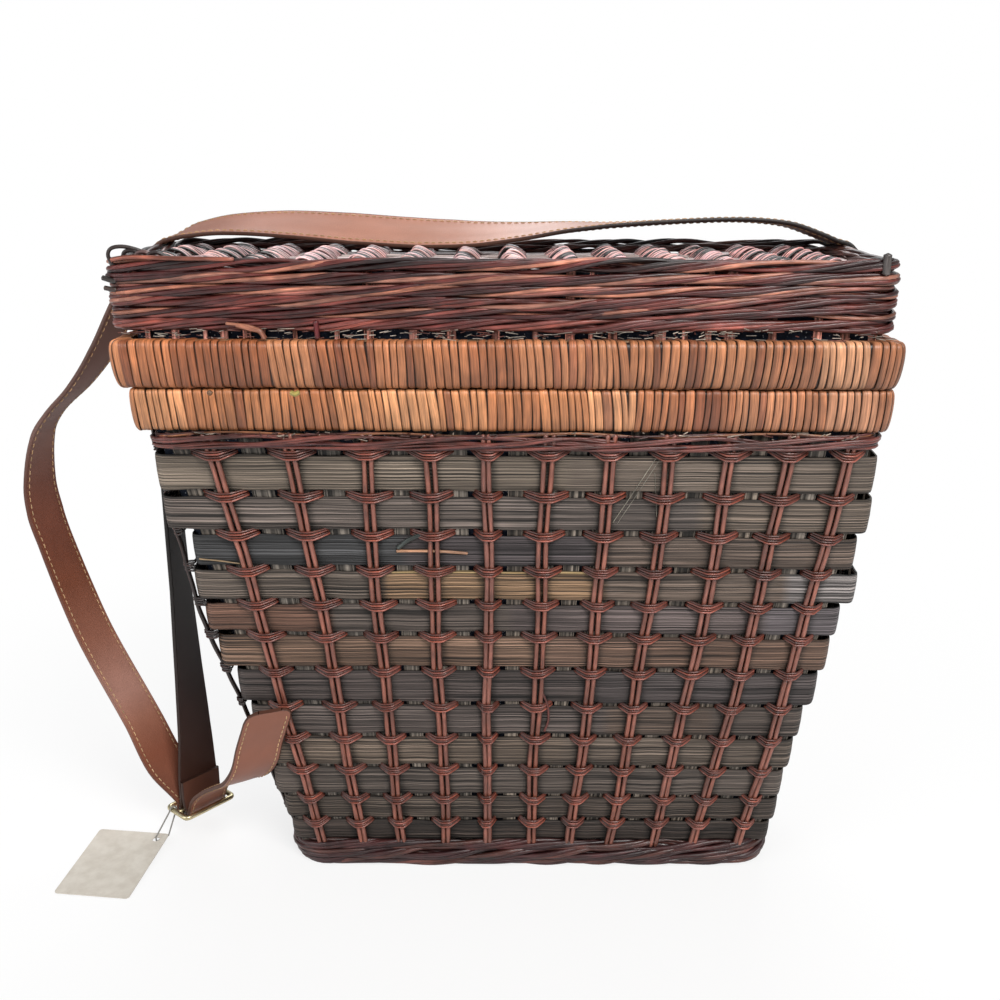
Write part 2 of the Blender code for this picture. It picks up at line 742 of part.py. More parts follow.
def fall_station(bow_share, depth_share, height_share, turn):
    """A station of the left fall. Its bow is measured out from where it leaves the lid."""
    start = over_lid_station(*OVER_LID_SHARES[-1])[0]
    top = start.z
    low = BUCKLE_HEIGHT + BUCKLE_WIDTH / 2
    outer = -(RIM_WIDTH / 2 + GAP + STRAP_THICKNESS / 2)
    angle = math.radians(turn)
    height = mix(low, top, height_share)
    middle = (
        mix(outer, outer - STRAP_BOW, bow_share),
        mix(BUCKLE_Y, start.y, depth_share),
        height,
    )
    return station(middle, (math.sin(angle), math.cos(angle), 0))


def buckle_station(back, up, width=STRAP_WIDTH):
    """A station across the buckle, by its distance behind and above the middle bar."""
    middle = BUCKLE_CENTRE + BUCKLE_BACK * back + UP * up
    return station(middle, BUCKLE_ALONG, width)


def tail_station(place_shares, across, width_share):
    """A station of the tail: shares out of the buckle's front, along its bars, and up."""
    out, along, up = (share * TAIL_REACH for share in place_shares)
    start = BUCKLE_CENTRE - BUCKLE_BACK * long_loop_radius() - BUCKLE_BACK * out
    return station(start + BUCKLE_ALONG * along + UP * up, across, width_share * STRAP_WIDTH)


def short_loop_radius():
    return BUCKLE_WIRE + GAP + STRAP_THICKNESS / 2


def long_loop_radius():
    return short_loop_radius() + STRAP_THICKNESS + GAP


def arc_stations(radius, start, end, count):
    """Stations on a loop round the buckle's middle bar, by angle from its back side."""
    made = []
    for step in range(count):
        angle = math.radians(mix(start, end, step / (count - 1)))
        made.append(buckle_station(radius * math.cos(angle), radius * math.sin(angle)))
    return made


def right_end_stations():
    """From the rivet on the body rim up past the lid rim."""
    on_rim = BODY_SHIFT + BODY_RIM_HALF_WIDTH + GAP + STRAP_THICKNESS / 2
    past_lid = RIM_WIDTH / 2 + 2 * GAP + STRAP_THICKNESS / 2
    y = STRAP_ANCHOR_SETBACK
    top = over_lid_station(*OVER_LID_SHARES[0])[0].z
    return [
        station((on_rim, y, WALL_HEIGHT), ALONG_Y),
        station((on_rim, y, WALL_HEIGHT + BODY_RIM_HEIGHT / 2), ALONG_Y),
        station((on_rim, y, WALL_HEIGHT + BODY_RIM_HEIGHT * 0.72), ALONG_Y),
        station((past_lid, mix(y, STRAP_SETBACK, 0.2), SEAM_ABOVE), ALONG_Y),
        station((past_lid + STRAP_THICKNESS, mix(y, STRAP_SETBACK, 0.5), LID_RIM_TOP), ALONG_Y),
        station((past_lid + STRAP_THICKNESS, mix(y, STRAP_SETBACK, 0.9), mix(LID_RIM_TOP, top, 0.75)), ALONG_Y),
    ]


def short_strap_stations():
    """From the rivet on the body rim's left side down to the loop round the middle bar."""
    x = BODY_SHIFT - (BODY_RIM_HALF_WIDTH + GAP + STRAP_THICKNESS / 2)
    top = SEAM_BELOW - SEAM_GAP / 2
    stations = [station((x, 0, mix(WALL_HEIGHT, top, share)), ALONG_Y) for share in (1, 0.5, 0)]
    low = BUCKLE_HEIGHT + BUCKLE_WIDTH
    for height_share, turn in ((0.78, 16), (0.54, 24), (0.30, 31), (0.13, 37)):
        angle = math.radians(turn)
        middle = Vector((x, 0, mix(low, WALL_HEIGHT, height_share)))
        middle = middle.lerp(BUCKLE_CENTRE + UP * (middle.z - BUCKLE_HEIGHT), 1 - height_share)
        stations.append(station(middle, (math.sin(angle), math.cos(angle), 0)))
    neck = (STRAP_THICKNESS + GAP) / 2
    stations.append(buckle_station(neck, low - BUCKLE_HEIGHT))
    stations.append(buckle_station(neck, BUCKLE_WIRE * 5))
    stations += arc_stations(short_loop_radius(), 35, -215, 11)
    stations.append(buckle_station(-neck, BUCKLE_WIRE * 5))
    stations.append(buckle_station(-neck, low - BUCKLE_HEIGHT))
    return stations


def build_straps():
    over = [over_lid_station(*shares) for shares in OVER_LID_SHARES]
    right = right_end_stations()
    fall = [fall_station(*shares) for shares in FALL_SHARES[1:]]
    loop = arc_stations(long_loop_radius(), 30, -180, 8)
    tail = [tail_station(*shares) for shares in TAIL_SHARES]
    route = right + over + fall + loop + tail
    smooth = smooth_stations(route)
    steps = (len(smooth) - 1) // (len(route) - 1)
    first, rest = cut_after(smooth, steps * (len(right) - 1))
    over_lid, last = cut_after(rest, steps * len(over) + 1)
    right_strap = ribbon("strap_right_end", first, LEATHER)
    ribbon("strap_over_lid", over_lid, LEATHER)
    ribbon("strap_fall_and_tail", last, LEATHER)
    short_strap = ribbon("strap_short", smooth_stations(short_strap_stations(), 2), LEATHER)
    rivet_height = WALL_HEIGHT + BODY_RIM_HEIGHT / 2
    build_rivet("rivet_left", -1, 0.0, rivet_height, short_strap)
    build_rivet("rivet_right", 1, STRAP_ANCHOR_SETBACK, rivet_height, right_strap)


def build_rivet(name, facing, y, height, strap):
    """A rivet whose head lies on the strap and whose shank goes through it."""
    inside = BODY_RIM_HALF_WIDTH + GAP
    face = inside + STRAP_THICKNESS + GAP
    along_x = Vector((facing, 0, 0))
    middle = Vector((BODY_SHIFT, y, height))
    head = cylinder(name, middle + along_x * face, middle + along_x * (face + RIVET_HEAD), RIVET_RADIUS, BRASS)
    shank = cylinder(
        name + "_shank",
        middle + along_x * inside,
        middle + along_x * (face + RIVET_HEAD / 2),
        RIVET_SHANK,
        BRASS,
        12,
    )
    hole = cylinder(
        name + "_hole",
        middle + along_x * (inside - OVERRUN),
        middle + along_x * (face + OVERRUN),
        RIVET_SHANK + GAP,
        BRASS,
        12,
    )
    boolean(head, mark_helper(shank), "UNION")
    boolean(strap, mark_helper(hole), "DIFFERENCE")


def build_buckle():
    """A flat three-bar slide of round wire."""
    half_length = BUCKLE_LENGTH / 2
    half_width = BUCKLE_WIDTH / 2
    corner = BUCKLE_WIRE * 1.5
    frame = []
    for point in rounded_outline(half_length, half_width, corner, 0.0):
        frame.append(BUCKLE_CENTRE + BUCKLE_ALONG * point.x + BUCKLE_BACK * point.y)
    buckle = add_part("buckle", tube_mesh("buckle", frame, BUCKLE_WIRE, 8, True), BRASS)
    ends = [BUCKLE_CENTRE + BUCKLE_ALONG * side * half_length for side in (-1, 1)]
    middle_bar = cylinder("buckle_middle_bar", ends[0], ends[1], BUCKLE_WIRE, BRASS, 12)
    boolean(buckle, mark_helper(middle_bar), "UNION")


# Hang tag: a blank card on the floor, held to the buckle by a thin loop


def tag_hole_place():
    """The hole, near the tag's corner towards the buckle, in the tag's own flat frame."""
    return Vector((TAG_WIDTH / 2 - TAG_HOLE_INSET, TAG_LENGTH / 2 - TAG_HOLE_INSET, 0))


def tag_point(place):
    """A point of the tag's own frame, in the basket's."""
    turned = Vector(
        (
            place.x * math.cos(TAG_TURN) - place.y * math.sin(TAG_TURN),
            place.x * math.sin(TAG_TURN) + place.y * math.cos(TAG_TURN),
            0,
        )
    )
    lift = GAP + TAG_THICKNESS / 2 + (place.y + TAG_LENGTH / 2) * math.tan(TAG_TILT)
    return Vector((TAG_X, TAG_Y, 0)) + turned + UP * (lift + place.z)


def build_tag():
    mesh = bpy.data.meshes.new("hang_tag")
    bm = bmesh.new()
    corner = TAG_HOLE_INSET / 3
    outline = rounded_outline(TAG_WIDTH / 2, TAG_LENGTH / 2, corner, 0.0)
    bm.faces.new([bm.verts.new(tag_point(point)) for point in outline])
    bm.to_mesh(mesh)
    bm.free()
    tag = add_part("hang_tag", mesh, CARD)
    thicken(tag, TAG_THICKNESS)
    hole = tag_point(tag_hole_place())
    cutter = cylinder("tag_hole", hole - UP * OVERRUN, hole + UP * OVERRUN, TAG_HOLE_RADIUS, CARD)
    boolean(tag, mark_helper(cutter), "DIFFERENCE")
    side_bar = tag_bar()
    clear = BUCKLE_WIRE + GAP + TAG_LOOP_WIRE
    ring = []
    for degrees in range(-30, 181, 30):
        angle = math.radians(degrees)
        ring.append(side_bar + BUCKLE_ALONG * clear * math.cos(angle) + UP * clear * math.sin(angle))
    ring.append(hole + UP * (TAG_THICKNESS + 2 * TAG_LOOP_WIRE))
    under = hole - UP * (TAG_THICKNESS / 2 + 2 * GAP + TAG_LOOP_WIRE)
    ring.append(under)
    ring.append(under + BUCKLE_ALONG * TAG_HOLE_INSET * 1.45)
    add_part("tag_loop", tube_mesh("tag_loop", ring, TAG_LOOP_WIRE, 6, True), CARD)


# The lid's pieces follow a hinge line, and the tag follows the buckle bar that it hangs on


def tag_bar():
    """Where the tag's loop goes round the buckle's left side bar."""
    return BUCKLE_CENTRE - BUCKLE_ALONG * (BUCKLE_LENGTH / 2) + BUCKLE_BACK * (BUCKLE_WIDTH / 4)


def hang_on(name, pivot, pieces):
    """Parents pieces to an empty on their joint's axis, without moving them."""
    empty = bpy.data.objects.new(name, None)
    empty.location = pivot
    empty.empty_display_size = HINGE_WIDTH
    PARTS.objects.link(empty)
    bpy.context.view_layer.update()
    for piece in pieces:
        piece.parent = empty
        piece.matrix_parent_inverse = empty.matrix_world.inverted()


def hang_moving_pieces():
    lid = [obj for obj in PARTS.objects if obj.name.startswith(("lid_", "hinge_upper", "strap_over_lid"))]
    tag = [obj for obj in PARTS.objects if obj.name in ("hang_tag", "tag_loop")]
    hang_on("lid_hinge_line", hinge_axis(), lid)
    hang_on("tag_pivot", tag_bar(), tag)


build_base()
build_wall()
build_uprights()
rope_ring(
    "twined_band",
    wall_outline,
    BAND_THICKNESS / 2,
    BAND_HEIGHT / 2,
    BAND_THICKNESS / 2,
    WALL_HEIGHT - GAP - BAND_HEIGHT / 2,
    ROPE,
)
build_rims()
build_lid_skirt()
build_lid_top()
build_hinges()
build_straps()
build_buckle()
build_tag()
hang_moving_pieces()
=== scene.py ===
"""The look of a lidded wicker picnic basket: woven strands, cane windings and stitched leather.

Metres, in the frame of the solid model: +Z up, front towards -Y, origin under the middle of the lid's rim.
"""

import math

import bpy
import numpy as np
from mathutils import Euler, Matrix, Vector


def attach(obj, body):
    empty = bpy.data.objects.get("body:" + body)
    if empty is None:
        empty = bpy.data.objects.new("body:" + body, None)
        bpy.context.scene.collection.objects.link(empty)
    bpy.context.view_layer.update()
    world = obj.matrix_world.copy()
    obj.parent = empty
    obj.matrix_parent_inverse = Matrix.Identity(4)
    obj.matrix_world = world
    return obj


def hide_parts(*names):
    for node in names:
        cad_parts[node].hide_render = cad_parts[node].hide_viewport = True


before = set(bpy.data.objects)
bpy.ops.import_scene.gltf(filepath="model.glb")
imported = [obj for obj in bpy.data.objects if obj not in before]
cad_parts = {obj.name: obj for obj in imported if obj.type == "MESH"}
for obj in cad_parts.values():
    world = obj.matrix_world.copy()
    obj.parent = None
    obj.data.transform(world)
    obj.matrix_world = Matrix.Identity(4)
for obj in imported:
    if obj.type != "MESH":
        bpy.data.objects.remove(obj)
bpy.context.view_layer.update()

RANDOM = np.random.default_rng(11)

# Sizes shared with the solid model
RIM_HALF_WIDTH, RIM_HALF_DEPTH, RIM_CORNER, TIGHT_CORNER = 0.2005, 0.070, 0.0065, 0.0020
BODY_RIM_INSET, BODY_SHIFT = 0.0048, 0.0035
WALL_HEIGHT, WALL_CORNER = 0.274, 0.010
# At the top, half-way up and at the base
WALL_HALF_WIDTHS, WALL_CENTRES = (0.1930, 0.1672, 0.1395), (0.0035, 0.0113, 0.0160)
# Half width and half depth
WALL_BASE, WALL_TOP = (0.1395, 0.040), (0.1930, 0.0612)
# Bottom, height and thickness of each rim's winding
BODY_RIM, LID_RIM = (0.2722, 0.0221, 0.0054), (0.2948, 0.0250, 0.0096)
LID_RIM_TOP, LID_TOP = 0.3207, 0.3600
STRAP_WIDTH, STRAP_THICKNESS = 0.0275, 0.0024

# The weave. Columns are given as shares of the wall's half width, at its top, half-way up and at its base.
TIE_HEIGHTS = (
    0.2606, 0.2378, 0.2159, 0.1948, 0.1745, 0.1548, 0.1329, 0.1104, 0.0891, 0.0682, 0.0477, 0.0304, 0.0170,
)
COLUMN_TOPS = (-0.823, -0.609, -0.399, -0.228, -0.072, 0.097, 0.258, 0.424, 0.589, 0.748, 0.909)
COLUMN_MIDDLES = (-0.848, -0.652, -0.479, -0.294, -0.127, 0.041, 0.221, 0.385, 0.563, 0.726, 0.894)
COLUMN_BASES = (-0.886, -0.716, -0.548, -0.362, -0.195, -0.003, 0.156, 0.321, 0.502, 0.675, 0.868)
HOOP_HALF_WIDTHS = (0.1900, 0.1893, 0.1798, 0.1817, 0.1758, 0.1713, 0.1647, 0.1585, 0.1536, 0.1499, 0.1467, 0.1433)
HOOP_CENTRES = (0.0049, 0.0058, 0.0100, 0.0109, 0.0091, 0.0101, 0.0122, 0.0126, 0.0134, 0.0140, 0.0154, 0.0158)
HOOP_CORNER, HOOP_POINTS, HOOP_GAP = 0.006, 1100, 0.0020
SIDE_COLUMNS = {
    1: ((-0.45, -0.45, -0.45), (-0.05, -0.05, -0.05), (0.36, 0.36, 0.36), (0.74, 0.74, 0.74)),
    3: ((-0.62, -0.93, -0.45), (-0.20, -0.20, -0.10), (0.30, 0.30, 0.30), (0.74, 0.74, 0.74)),
}
LOOSE_COLUMN = SIDE_COLUMNS[3][0]
TIE_REACHES = (0.0128, 0.0132, 0.0124, 0.0130, 0.0086, 0.0122, 0.0115, 0.0115, 0.0118, 0.0112, 0.0100)
WICKER_SPREADS = (0.0019, 0.0019, 0.0020, 0.0020, 0.0015, 0.0021, 0.0019, 0.0019, 0.0018, 0.0018, 0.0017)


def shown(red, green, blue):
    """A colour given on the eight-bit scale of a screen, as linear light."""
    share = np.array([red, green, blue]) / 255
    return np.where(share <= 0.04045, share / 12.92, ((share + 0.055) / 1.055) ** 2.4)


# Node materials


def node(tree, kind, inputs=(), **settings):
    """Adds a shader node. Inputs are values, or sockets to link from."""
    made = tree.nodes.new("ShaderNode" + kind)
    for key, value in settings.items():
        setattr(made, key, value)
    for key, value in dict(inputs).items():
        if isinstance(value, bpy.types.NodeSocket):
            tree.links.new(value, made.inputs[key])
        else:
            made.inputs[key].default_value = value
    return made


def new_material(name, roughness, metallic=0.0, specular=0.5, coat=0.0, coat_roughness=0.3):
    material = bpy.data.materials.new(name)
    material.use_nodes = True
    shader = material.node_tree.nodes["Principled BSDF"]
    for key, value in (
        ("Roughness", roughness), ("Metallic", metallic), ("Specular IOR Level", specular), ("Coat Weight", coat),
        ("Coat Roughness", coat_roughness),
    ):
        shader.inputs[key].default_value = value
    return material, material.node_tree, shader


def ramp(tree, factor, stops):
    made = node(tree, "ValToRGB", {"Fac": factor})
    elements = made.color_ramp.elements
    while len(elements) < len(stops):
        elements.new(0.5)
    for element, (place, grey) in zip(elements, stops):
        element.position = place
        element.color = (*((grey,) * 3 if isinstance(grey, float) else grey), 1)
    return made.outputs["Color"]


def noise(tree, vector, scale, detail=3.0, roughness=0.6):
    inputs = {"Vector": vector, "Scale": scale, "Detail": detail, "Roughness": roughness}
    return node(tree, "TexNoise", inputs).outputs["Fac"]


def stretched(tree, across, along):
    """The strand's own coordinates, across it and along it, stretched so that grain follows it."""
    place = node(tree, "UVMap", uv_map="strand")
    return node(tree, "Mapping", {"Vector": place.outputs["UV"], "Scale": (across, along, 1)}).outputs["Vector"]


def blended(tree, kind, factor, one, other):
    made = node(tree, "Mix", data_type="RGBA", blend_type=kind, clamp_result=False)
    for key, value in ((0, factor), (6, one), (7, other)):
        if isinstance(value, bpy.types.NodeSocket):
            tree.links.new(value, made.inputs[key])
        else:
            made.inputs[key].default_value = value if key == 0 else (*value, 1)
    return made.outputs[2]


def tinted(tree, shader, *shades):
    """Gives the shader the strand's own tint, multiplied by shades."""
    colour = node(tree, "Attribute", attribute_name="tint").outputs["Color"]
    for shade in shades:
        colour = blended(tree, "MULTIPLY", 1.0, colour, shade)
    tree.links.new(colour, shader.inputs["Base Color"])


def bump(tree, shader, height, distance):
    made = node(tree, "Bump", {"Height": height, "Distance": distance, "Strength": 1.0})
    tree.links.new(made.outputs["Normal"], shader.inputs["Normal"])


def strand_material(name, roughness, grain, fine, contrast, depth, specular=0.5, blotch=(0.75, 1.2), coat=0.0):
    """A plant strand: its own tint, darkened and lightened by grain along it and by blotches."""
    material, tree, shader = new_material(name, roughness, specular=specular, coat=coat, coat_roughness=0.28)
    coarse = noise(tree, stretched(tree, *grain), 1.0, 4.0, 0.65)
    thin = noise(tree, stretched(tree, *fine), 1.0, 2.0, 0.5)
    both = node(tree, "Math", {0: coarse, 1: thin}, operation="MULTIPLY").outputs[0]
    low, high = contrast
    shade = ramp(tree, both, ((0.12, low), (0.26, (low + high) / 2), (0.42, high)))
    place = node(tree, "TexCoord").outputs["Object"]
    spots = ramp(tree, noise(tree, place, 55.0, 2.0), ((0.35, blotch[0]), (0.65, blotch[1])))
    tinted(tree, shader, shade, spots)
    bump(tree, shader, both, depth)
    return material


def splint_material(name, upright, roughness):
    """Split wood: long crisp grain lines, pale on the raised fibres and dark between them."""
    material, tree, shader = new_material(name, roughness, specular=0.3)

    def grain(length, pitch, detail, rough):
        scales = (pitch, length) if upright else (length, pitch)
        return noise(tree, stretched(tree, *scales), 1.0, detail, rough)

    broad, lines, hairs = grain(6, 160, 2.0, 0.5), grain(7, 1350, 1.5, 0.5), grain(18, 2900, 2.0, 0.6)
    tinted(
        tree,
        shader,
        ramp(tree, broad, ((0.30, 0.86), (0.70, 1.14))),
        ramp(tree, lines, ((0.37, 0.16), (0.46, 0.76), (0.54, 1.02), (0.64, 2.35))),
        ramp(tree, hairs, ((0.33, 0.62), (0.67, 1.38))),
    )
    bump(tree, shader, lines, 0.0009)
    return material


def leather_material(name, roughness, depth, coat=0.0):
    """Leather in the strap's own tint, with soft clouds and fine pores."""
    material, tree, shader = new_material(name, roughness, specular=0.45, coat=coat, coat_roughness=0.35)
    clouds = ramp(tree, noise(tree, stretched(tree, 40, 22), 1.0), ((0.35, 0.90), (0.65, 1.08)))
    pores = noise(tree, stretched(tree, 1500, 1500), 1.0)
    tinted(tree, shader, clouds, ramp(tree, pores, ((0.3, 0.88), (0.7, 1.06))))
    bump(tree, shader, pores, depth)
    return material


def plain_material(name, roughness, clouds, stops, pores=None, grain=None, **more):
    """Soft clouds of two colours. Clouds are given by scale and detail, pores by scale and depth."""
    material, tree, shader = new_material(name, roughness, **more)
    place = node(tree, "TexCoord").outputs["Object"]
    if grain:
        place = node(tree, "Mapping", {"Vector": place, "Scale": grain}).outputs["Vector"]
    tree.links.new(ramp(tree, noise(tree, place, *clouds), stops), shader.inputs["Base Color"])
    if pores:
        bump(tree, shader, noise(tree, place, pores[0]), pores[1])
    return material


def fabric_material():
    """Dark blue woven lining with pale flecks."""
    material, tree, shader = new_material("lining_cloth", 0.85, specular=0.2)
    place = node(tree, "TexCoord").outputs["Object"]
    ground = ramp(tree, noise(tree, place, 350.0), ((0.35, (0.006, 0.009, 0.018)), (0.7, (0.022, 0.030, 0.052))))
    cells = node(tree, "TexVoronoi", {"Vector": place, "Scale": 620.0}).outputs["Distance"]
    flecks = ramp(tree, cells, ((0.16, 0.85), (0.26, 0.0)))
    some = ramp(tree, noise(tree, place, 260.0, 2.0), ((0.50, 0.0), (0.60, 1.0)))
    pick = node(tree, "Math", {0: flecks, 1: some}, operation="MULTIPLY").outputs[0]
    tree.links.new(blended(tree, "MIX", pick, ground, (0.50, 0.53, 0.56)), shader.inputs["Base Color"])
    bump(tree, shader, noise(tree, place, 1600.0), 0.0003)
    return material


SPLINT = splint_material("splint", False, 0.52)
LID_SPLINT = splint_material("lid_splint", False, 0.40)
STAKE = splint_material("stake", True, 0.55)
WICKER = strand_material("wicker", 0.28, (900, 60), (2600, 160), (0.50, 1.55), 0.00025, coat=0.2)
WILLOW = strand_material("willow", 0.30, (1000, 40), (2800, 110), (0.30, 1.95), 0.0003, 0.5, (0.65, 1.35), 0.15)
CANE = strand_material("cane", 0.38, (1100, 26), (3000, 80), (0.50, 1.55), 0.0003, 0.5, (0.82, 1.15), 0.06)
THREAD = strand_material("stitching", 0.7, (2500, 2500), (5000, 5000), (0.8, 1.15), 0.0001, 0.2)
LEATHER = leather_material("leather_face", 0.42, 0.00010, 0.30)
LEATHER_BACK = leather_material("leather_back", 0.62, 0.00020)
LEATHER_DARK = leather_material("leather_dark", 0.55, 0.00015)
LEATHER_EDGE = leather_material("leather_edge", 0.48, 0.00010)
HINGE_LEATHER = plain_material(
    "hinge_leather", 0.55, (30.0, 3.0), ((0.35, (0.045, 0.018, 0.012)), (0.65, (0.070, 0.028, 0.019))),
    (1500.0, 0.00015), specular=0.4,
)
BRASS = plain_material(
    "worn_brass", 0.34, (160.0, 4.0), ((0.3, (0.46, 0.38, 0.20)), (0.7, (0.76, 0.68, 0.46))), (900.0, 0.0001),
    metallic=1.0,
)
FABRIC = fabric_material()
CARD = plain_material(
    "card", 0.75, (120.0, 4.0), ((0.35, (0.565, 0.520, 0.455)), (0.65, (0.650, 0.610, 0.545))), (2500.0, 0.00004),
    specular=0.2,
)
LOOP_CORD = plain_material(
    "loop_cord", 0.8, (1800.0, 3.0), ((0.35, (0.20, 0.19, 0.18)), (0.65, (0.34, 0.33, 0.31))), specular=0.2
)
TIMBER = plain_material(
    "inner_hoop_wood", 0.65, (1.0, 4.0), ((0.3, (0.20, 0.11, 0.055)), (0.7, (0.36, 0.22, 0.115))), (1.0, 0.0003),
    (20, 20, 900),
)


# Mesh building


def linked(name, data, place=(0, 0, 0)):
    made = bpy.data.objects.new(name, data)
    made.location = place
    bpy.context.scene.collection.objects.link(made)
    return made


def unit(vectors, least=0.0):
    """Vectors at length one. A little is added to lengths that may be nothing."""
    return vectors / (np.linalg.norm(vectors, axis=-1, keepdims=True) + least)


def round_shares(count):
    """Even shares of the way round a closed line."""
    return np.linspace(0, 1, count, endpoint=False)


def between(at, places, rows):
    """Rows of values, interpolated between their places."""
    return np.stack([np.interp(at, places, column) for column in np.transpose(rows)], axis=-1)


class Strands:
    """Collects many strands, strips and sheets, then makes one mesh of them."""

    def __init__(self):
        self.points, self.faces, self.places, self.tints, self.slots = [], [], [], [], []
        self.count = 0

    def grid(self, points, places, tint, wrap_rows=False, wrap_columns=False, slot=0):
        """Quads over rows and columns of points. Places are the values across the strand and those along it."""
        rows, columns = points.shape[:2]
        row = np.arange(rows if wrap_rows else rows - 1)
        column = np.arange(columns if wrap_columns else columns - 1)
        row, column = (item.ravel() for item in np.meshgrid(row, column, indexing="ij"))
        next_row, next_column = (row + 1) % rows, (column + 1) % columns
        corners = (
            row * columns + column,
            row * columns + next_column,
            next_row * columns + next_column,
            next_row * columns + column,
        )
        self.faces.append(np.stack(corners, axis=1) + self.count)
        self.slots.append(np.full(len(row), slot))
        self.points.append(points.reshape(-1, 3))
        places = [np.broadcast_to(np.asarray(values, float), points.shape[:2]) for values in places]
        self.places.append(np.stack(places, axis=-1).reshape(-1, 2))
        self.tints.append(np.broadcast_to(np.asarray(tint, float), points.shape).reshape(-1, 3))
        self.count += rows * columns

    def tube(self, path, radius, tint, normals=None, sides=6, closed=False, shade=0.0):
        """A round strand along a path, narrowed to a blunt tip at free ends.

        Its tint is darkened by painted shade, by the given amount, from the side that the normals face round to the
        far side.
        """
        path = np.asarray(path, float)
        radius = np.broadcast_to(np.asarray(radius, float), (len(path),)).copy()
        if closed:
            ways = np.roll(path, -1, axis=0) - np.roll(path, 1, axis=0)
        else:
            ways = np.gradient(path, axis=0)
        ways = unit(ways, 1e-12)
        if normals is None:
            fixed = np.array([0.0, 0.0, 1.0]) if abs(ways[:, 2]).mean() < 0.8 else np.array([0.0, -1.0, 0.0])
            normals = np.broadcast_to(fixed, path.shape)
        sidewards = unit(np.cross(ways, normals), 1e-12)
        normals = np.cross(sidewards, ways)
        if not closed:
            path = np.concatenate([path[:1], path, path[-1:]])
            ways, sidewards, normals = (
                np.concatenate([item[:1], item, item[-1:]]) for item in (ways, sidewards, normals)
            )
            path[0] -= ways[0] * radius[0] * 0.4
            path[-1] += ways[-1] * radius[-1] * 0.4
            radius = np.concatenate([radius[:1] * 0.2, radius, radius[-1:] * 0.2])
            if np.ndim(tint) == 2:
                tint = np.concatenate([tint[:1], tint, tint[-1:]])
        angle = 2 * np.pi * np.arange(sides) / sides
        ring = normals[:, None] * np.cos(angle)[:, None] + sidewards[:, None] * np.sin(angle)[:, None]
        points = path[:, None] + ring * radius[:, None, None]
        steps = np.linalg.norm(np.diff(path, axis=0), axis=1)
        along = np.concatenate([[0], np.cumsum(steps)]) + RANDOM.random() * 7
        around = abs((angle + np.pi) % (2 * np.pi) - np.pi)
        places = (around * radius.mean(), along[:, None])
        tint = np.asarray(tint, float)
        if tint.ndim == 2:
            tint = tint[:, None, :]
        # Painted shade round the strand, darkest on its far side.
        darkened = 1 - shade * np.minimum(1, 1 - np.cos(angle))
        self.grid(points, places, tint * darkened[None, :, None], wrap_rows=closed, wrap_columns=True)

    def build(self, name, materials, body, replaces=(), slot=None, sharp=50):
        points = np.concatenate(self.points)
        faces = np.concatenate(self.faces)
        mesh = bpy.data.meshes.new(name)
        mesh.vertices.add(len(points))
        mesh.vertices.foreach_set("co", points.ravel())
        mesh.loops.add(faces.size)
        mesh.loops.foreach_set("vertex_index", faces.ravel())
        mesh.polygons.add(len(faces))
        mesh.polygons.foreach_set("loop_start", np.arange(len(faces)) * 4)
        mesh.update()
        mesh.validate()
        mesh.uv_layers.new(name="strand")
        index = np.empty(len(mesh.loops), int)
        mesh.loops.foreach_get("vertex_index", index)
        mesh.uv_layers["strand"].uv.foreach_set("vector", np.concatenate(self.places)[index].ravel())
        tint = mesh.attributes.new("tint", "FLOAT_COLOR", "POINT")
        colours = np.ones((len(points), 4))
        colours[:, :3] = np.concatenate(self.tints)
        tint.data.foreach_set("color", colours.ravel())
        for material in materials:
            mesh.materials.append(material)
        if len(materials) > 1 and len(mesh.polygons) == len(faces):
            mesh.polygons.foreach_set("material_index", np.concatenate(self.slots).astype(int))
        mesh.shade_smooth()
        if sharp:
            mesh.set_sharp_from_angle(angle=math.radians(sharp))
        obj = linked(name, mesh)
        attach(obj, body)
        if replaces:
            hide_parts(*replaces)
        return obj


def varied(colour, amount=0.15, warm=0.05):
    """A colour moved a little at random, lighter or darker, and warmer or cooler."""
    scale = 1 + RANDOM.uniform(-amount, amount)
    shift = RANDOM.uniform(-warm, warm)
    return np.array([colour[0] * (1 + shift), colour[1], colour[2] * (1 - shift)]) * scale


def picked(colours):
    return colours[RANDOM.choice(len(colours))]


def wobble(share, waves, seed):
    """A smooth wave round a closed line, about -1 to 1."""
    rng = np.random.default_rng(seed)
    total = np.zeros_like(share)
    for wave in waves:
        total = total + rng.uniform(0.6, 1.0) * np.sin(2 * np.pi * (wave * share + rng.random()))
    return total / len(waves) ** 0.5


# Outlines seen from above: distance runs from the front's left end, anticlockwise


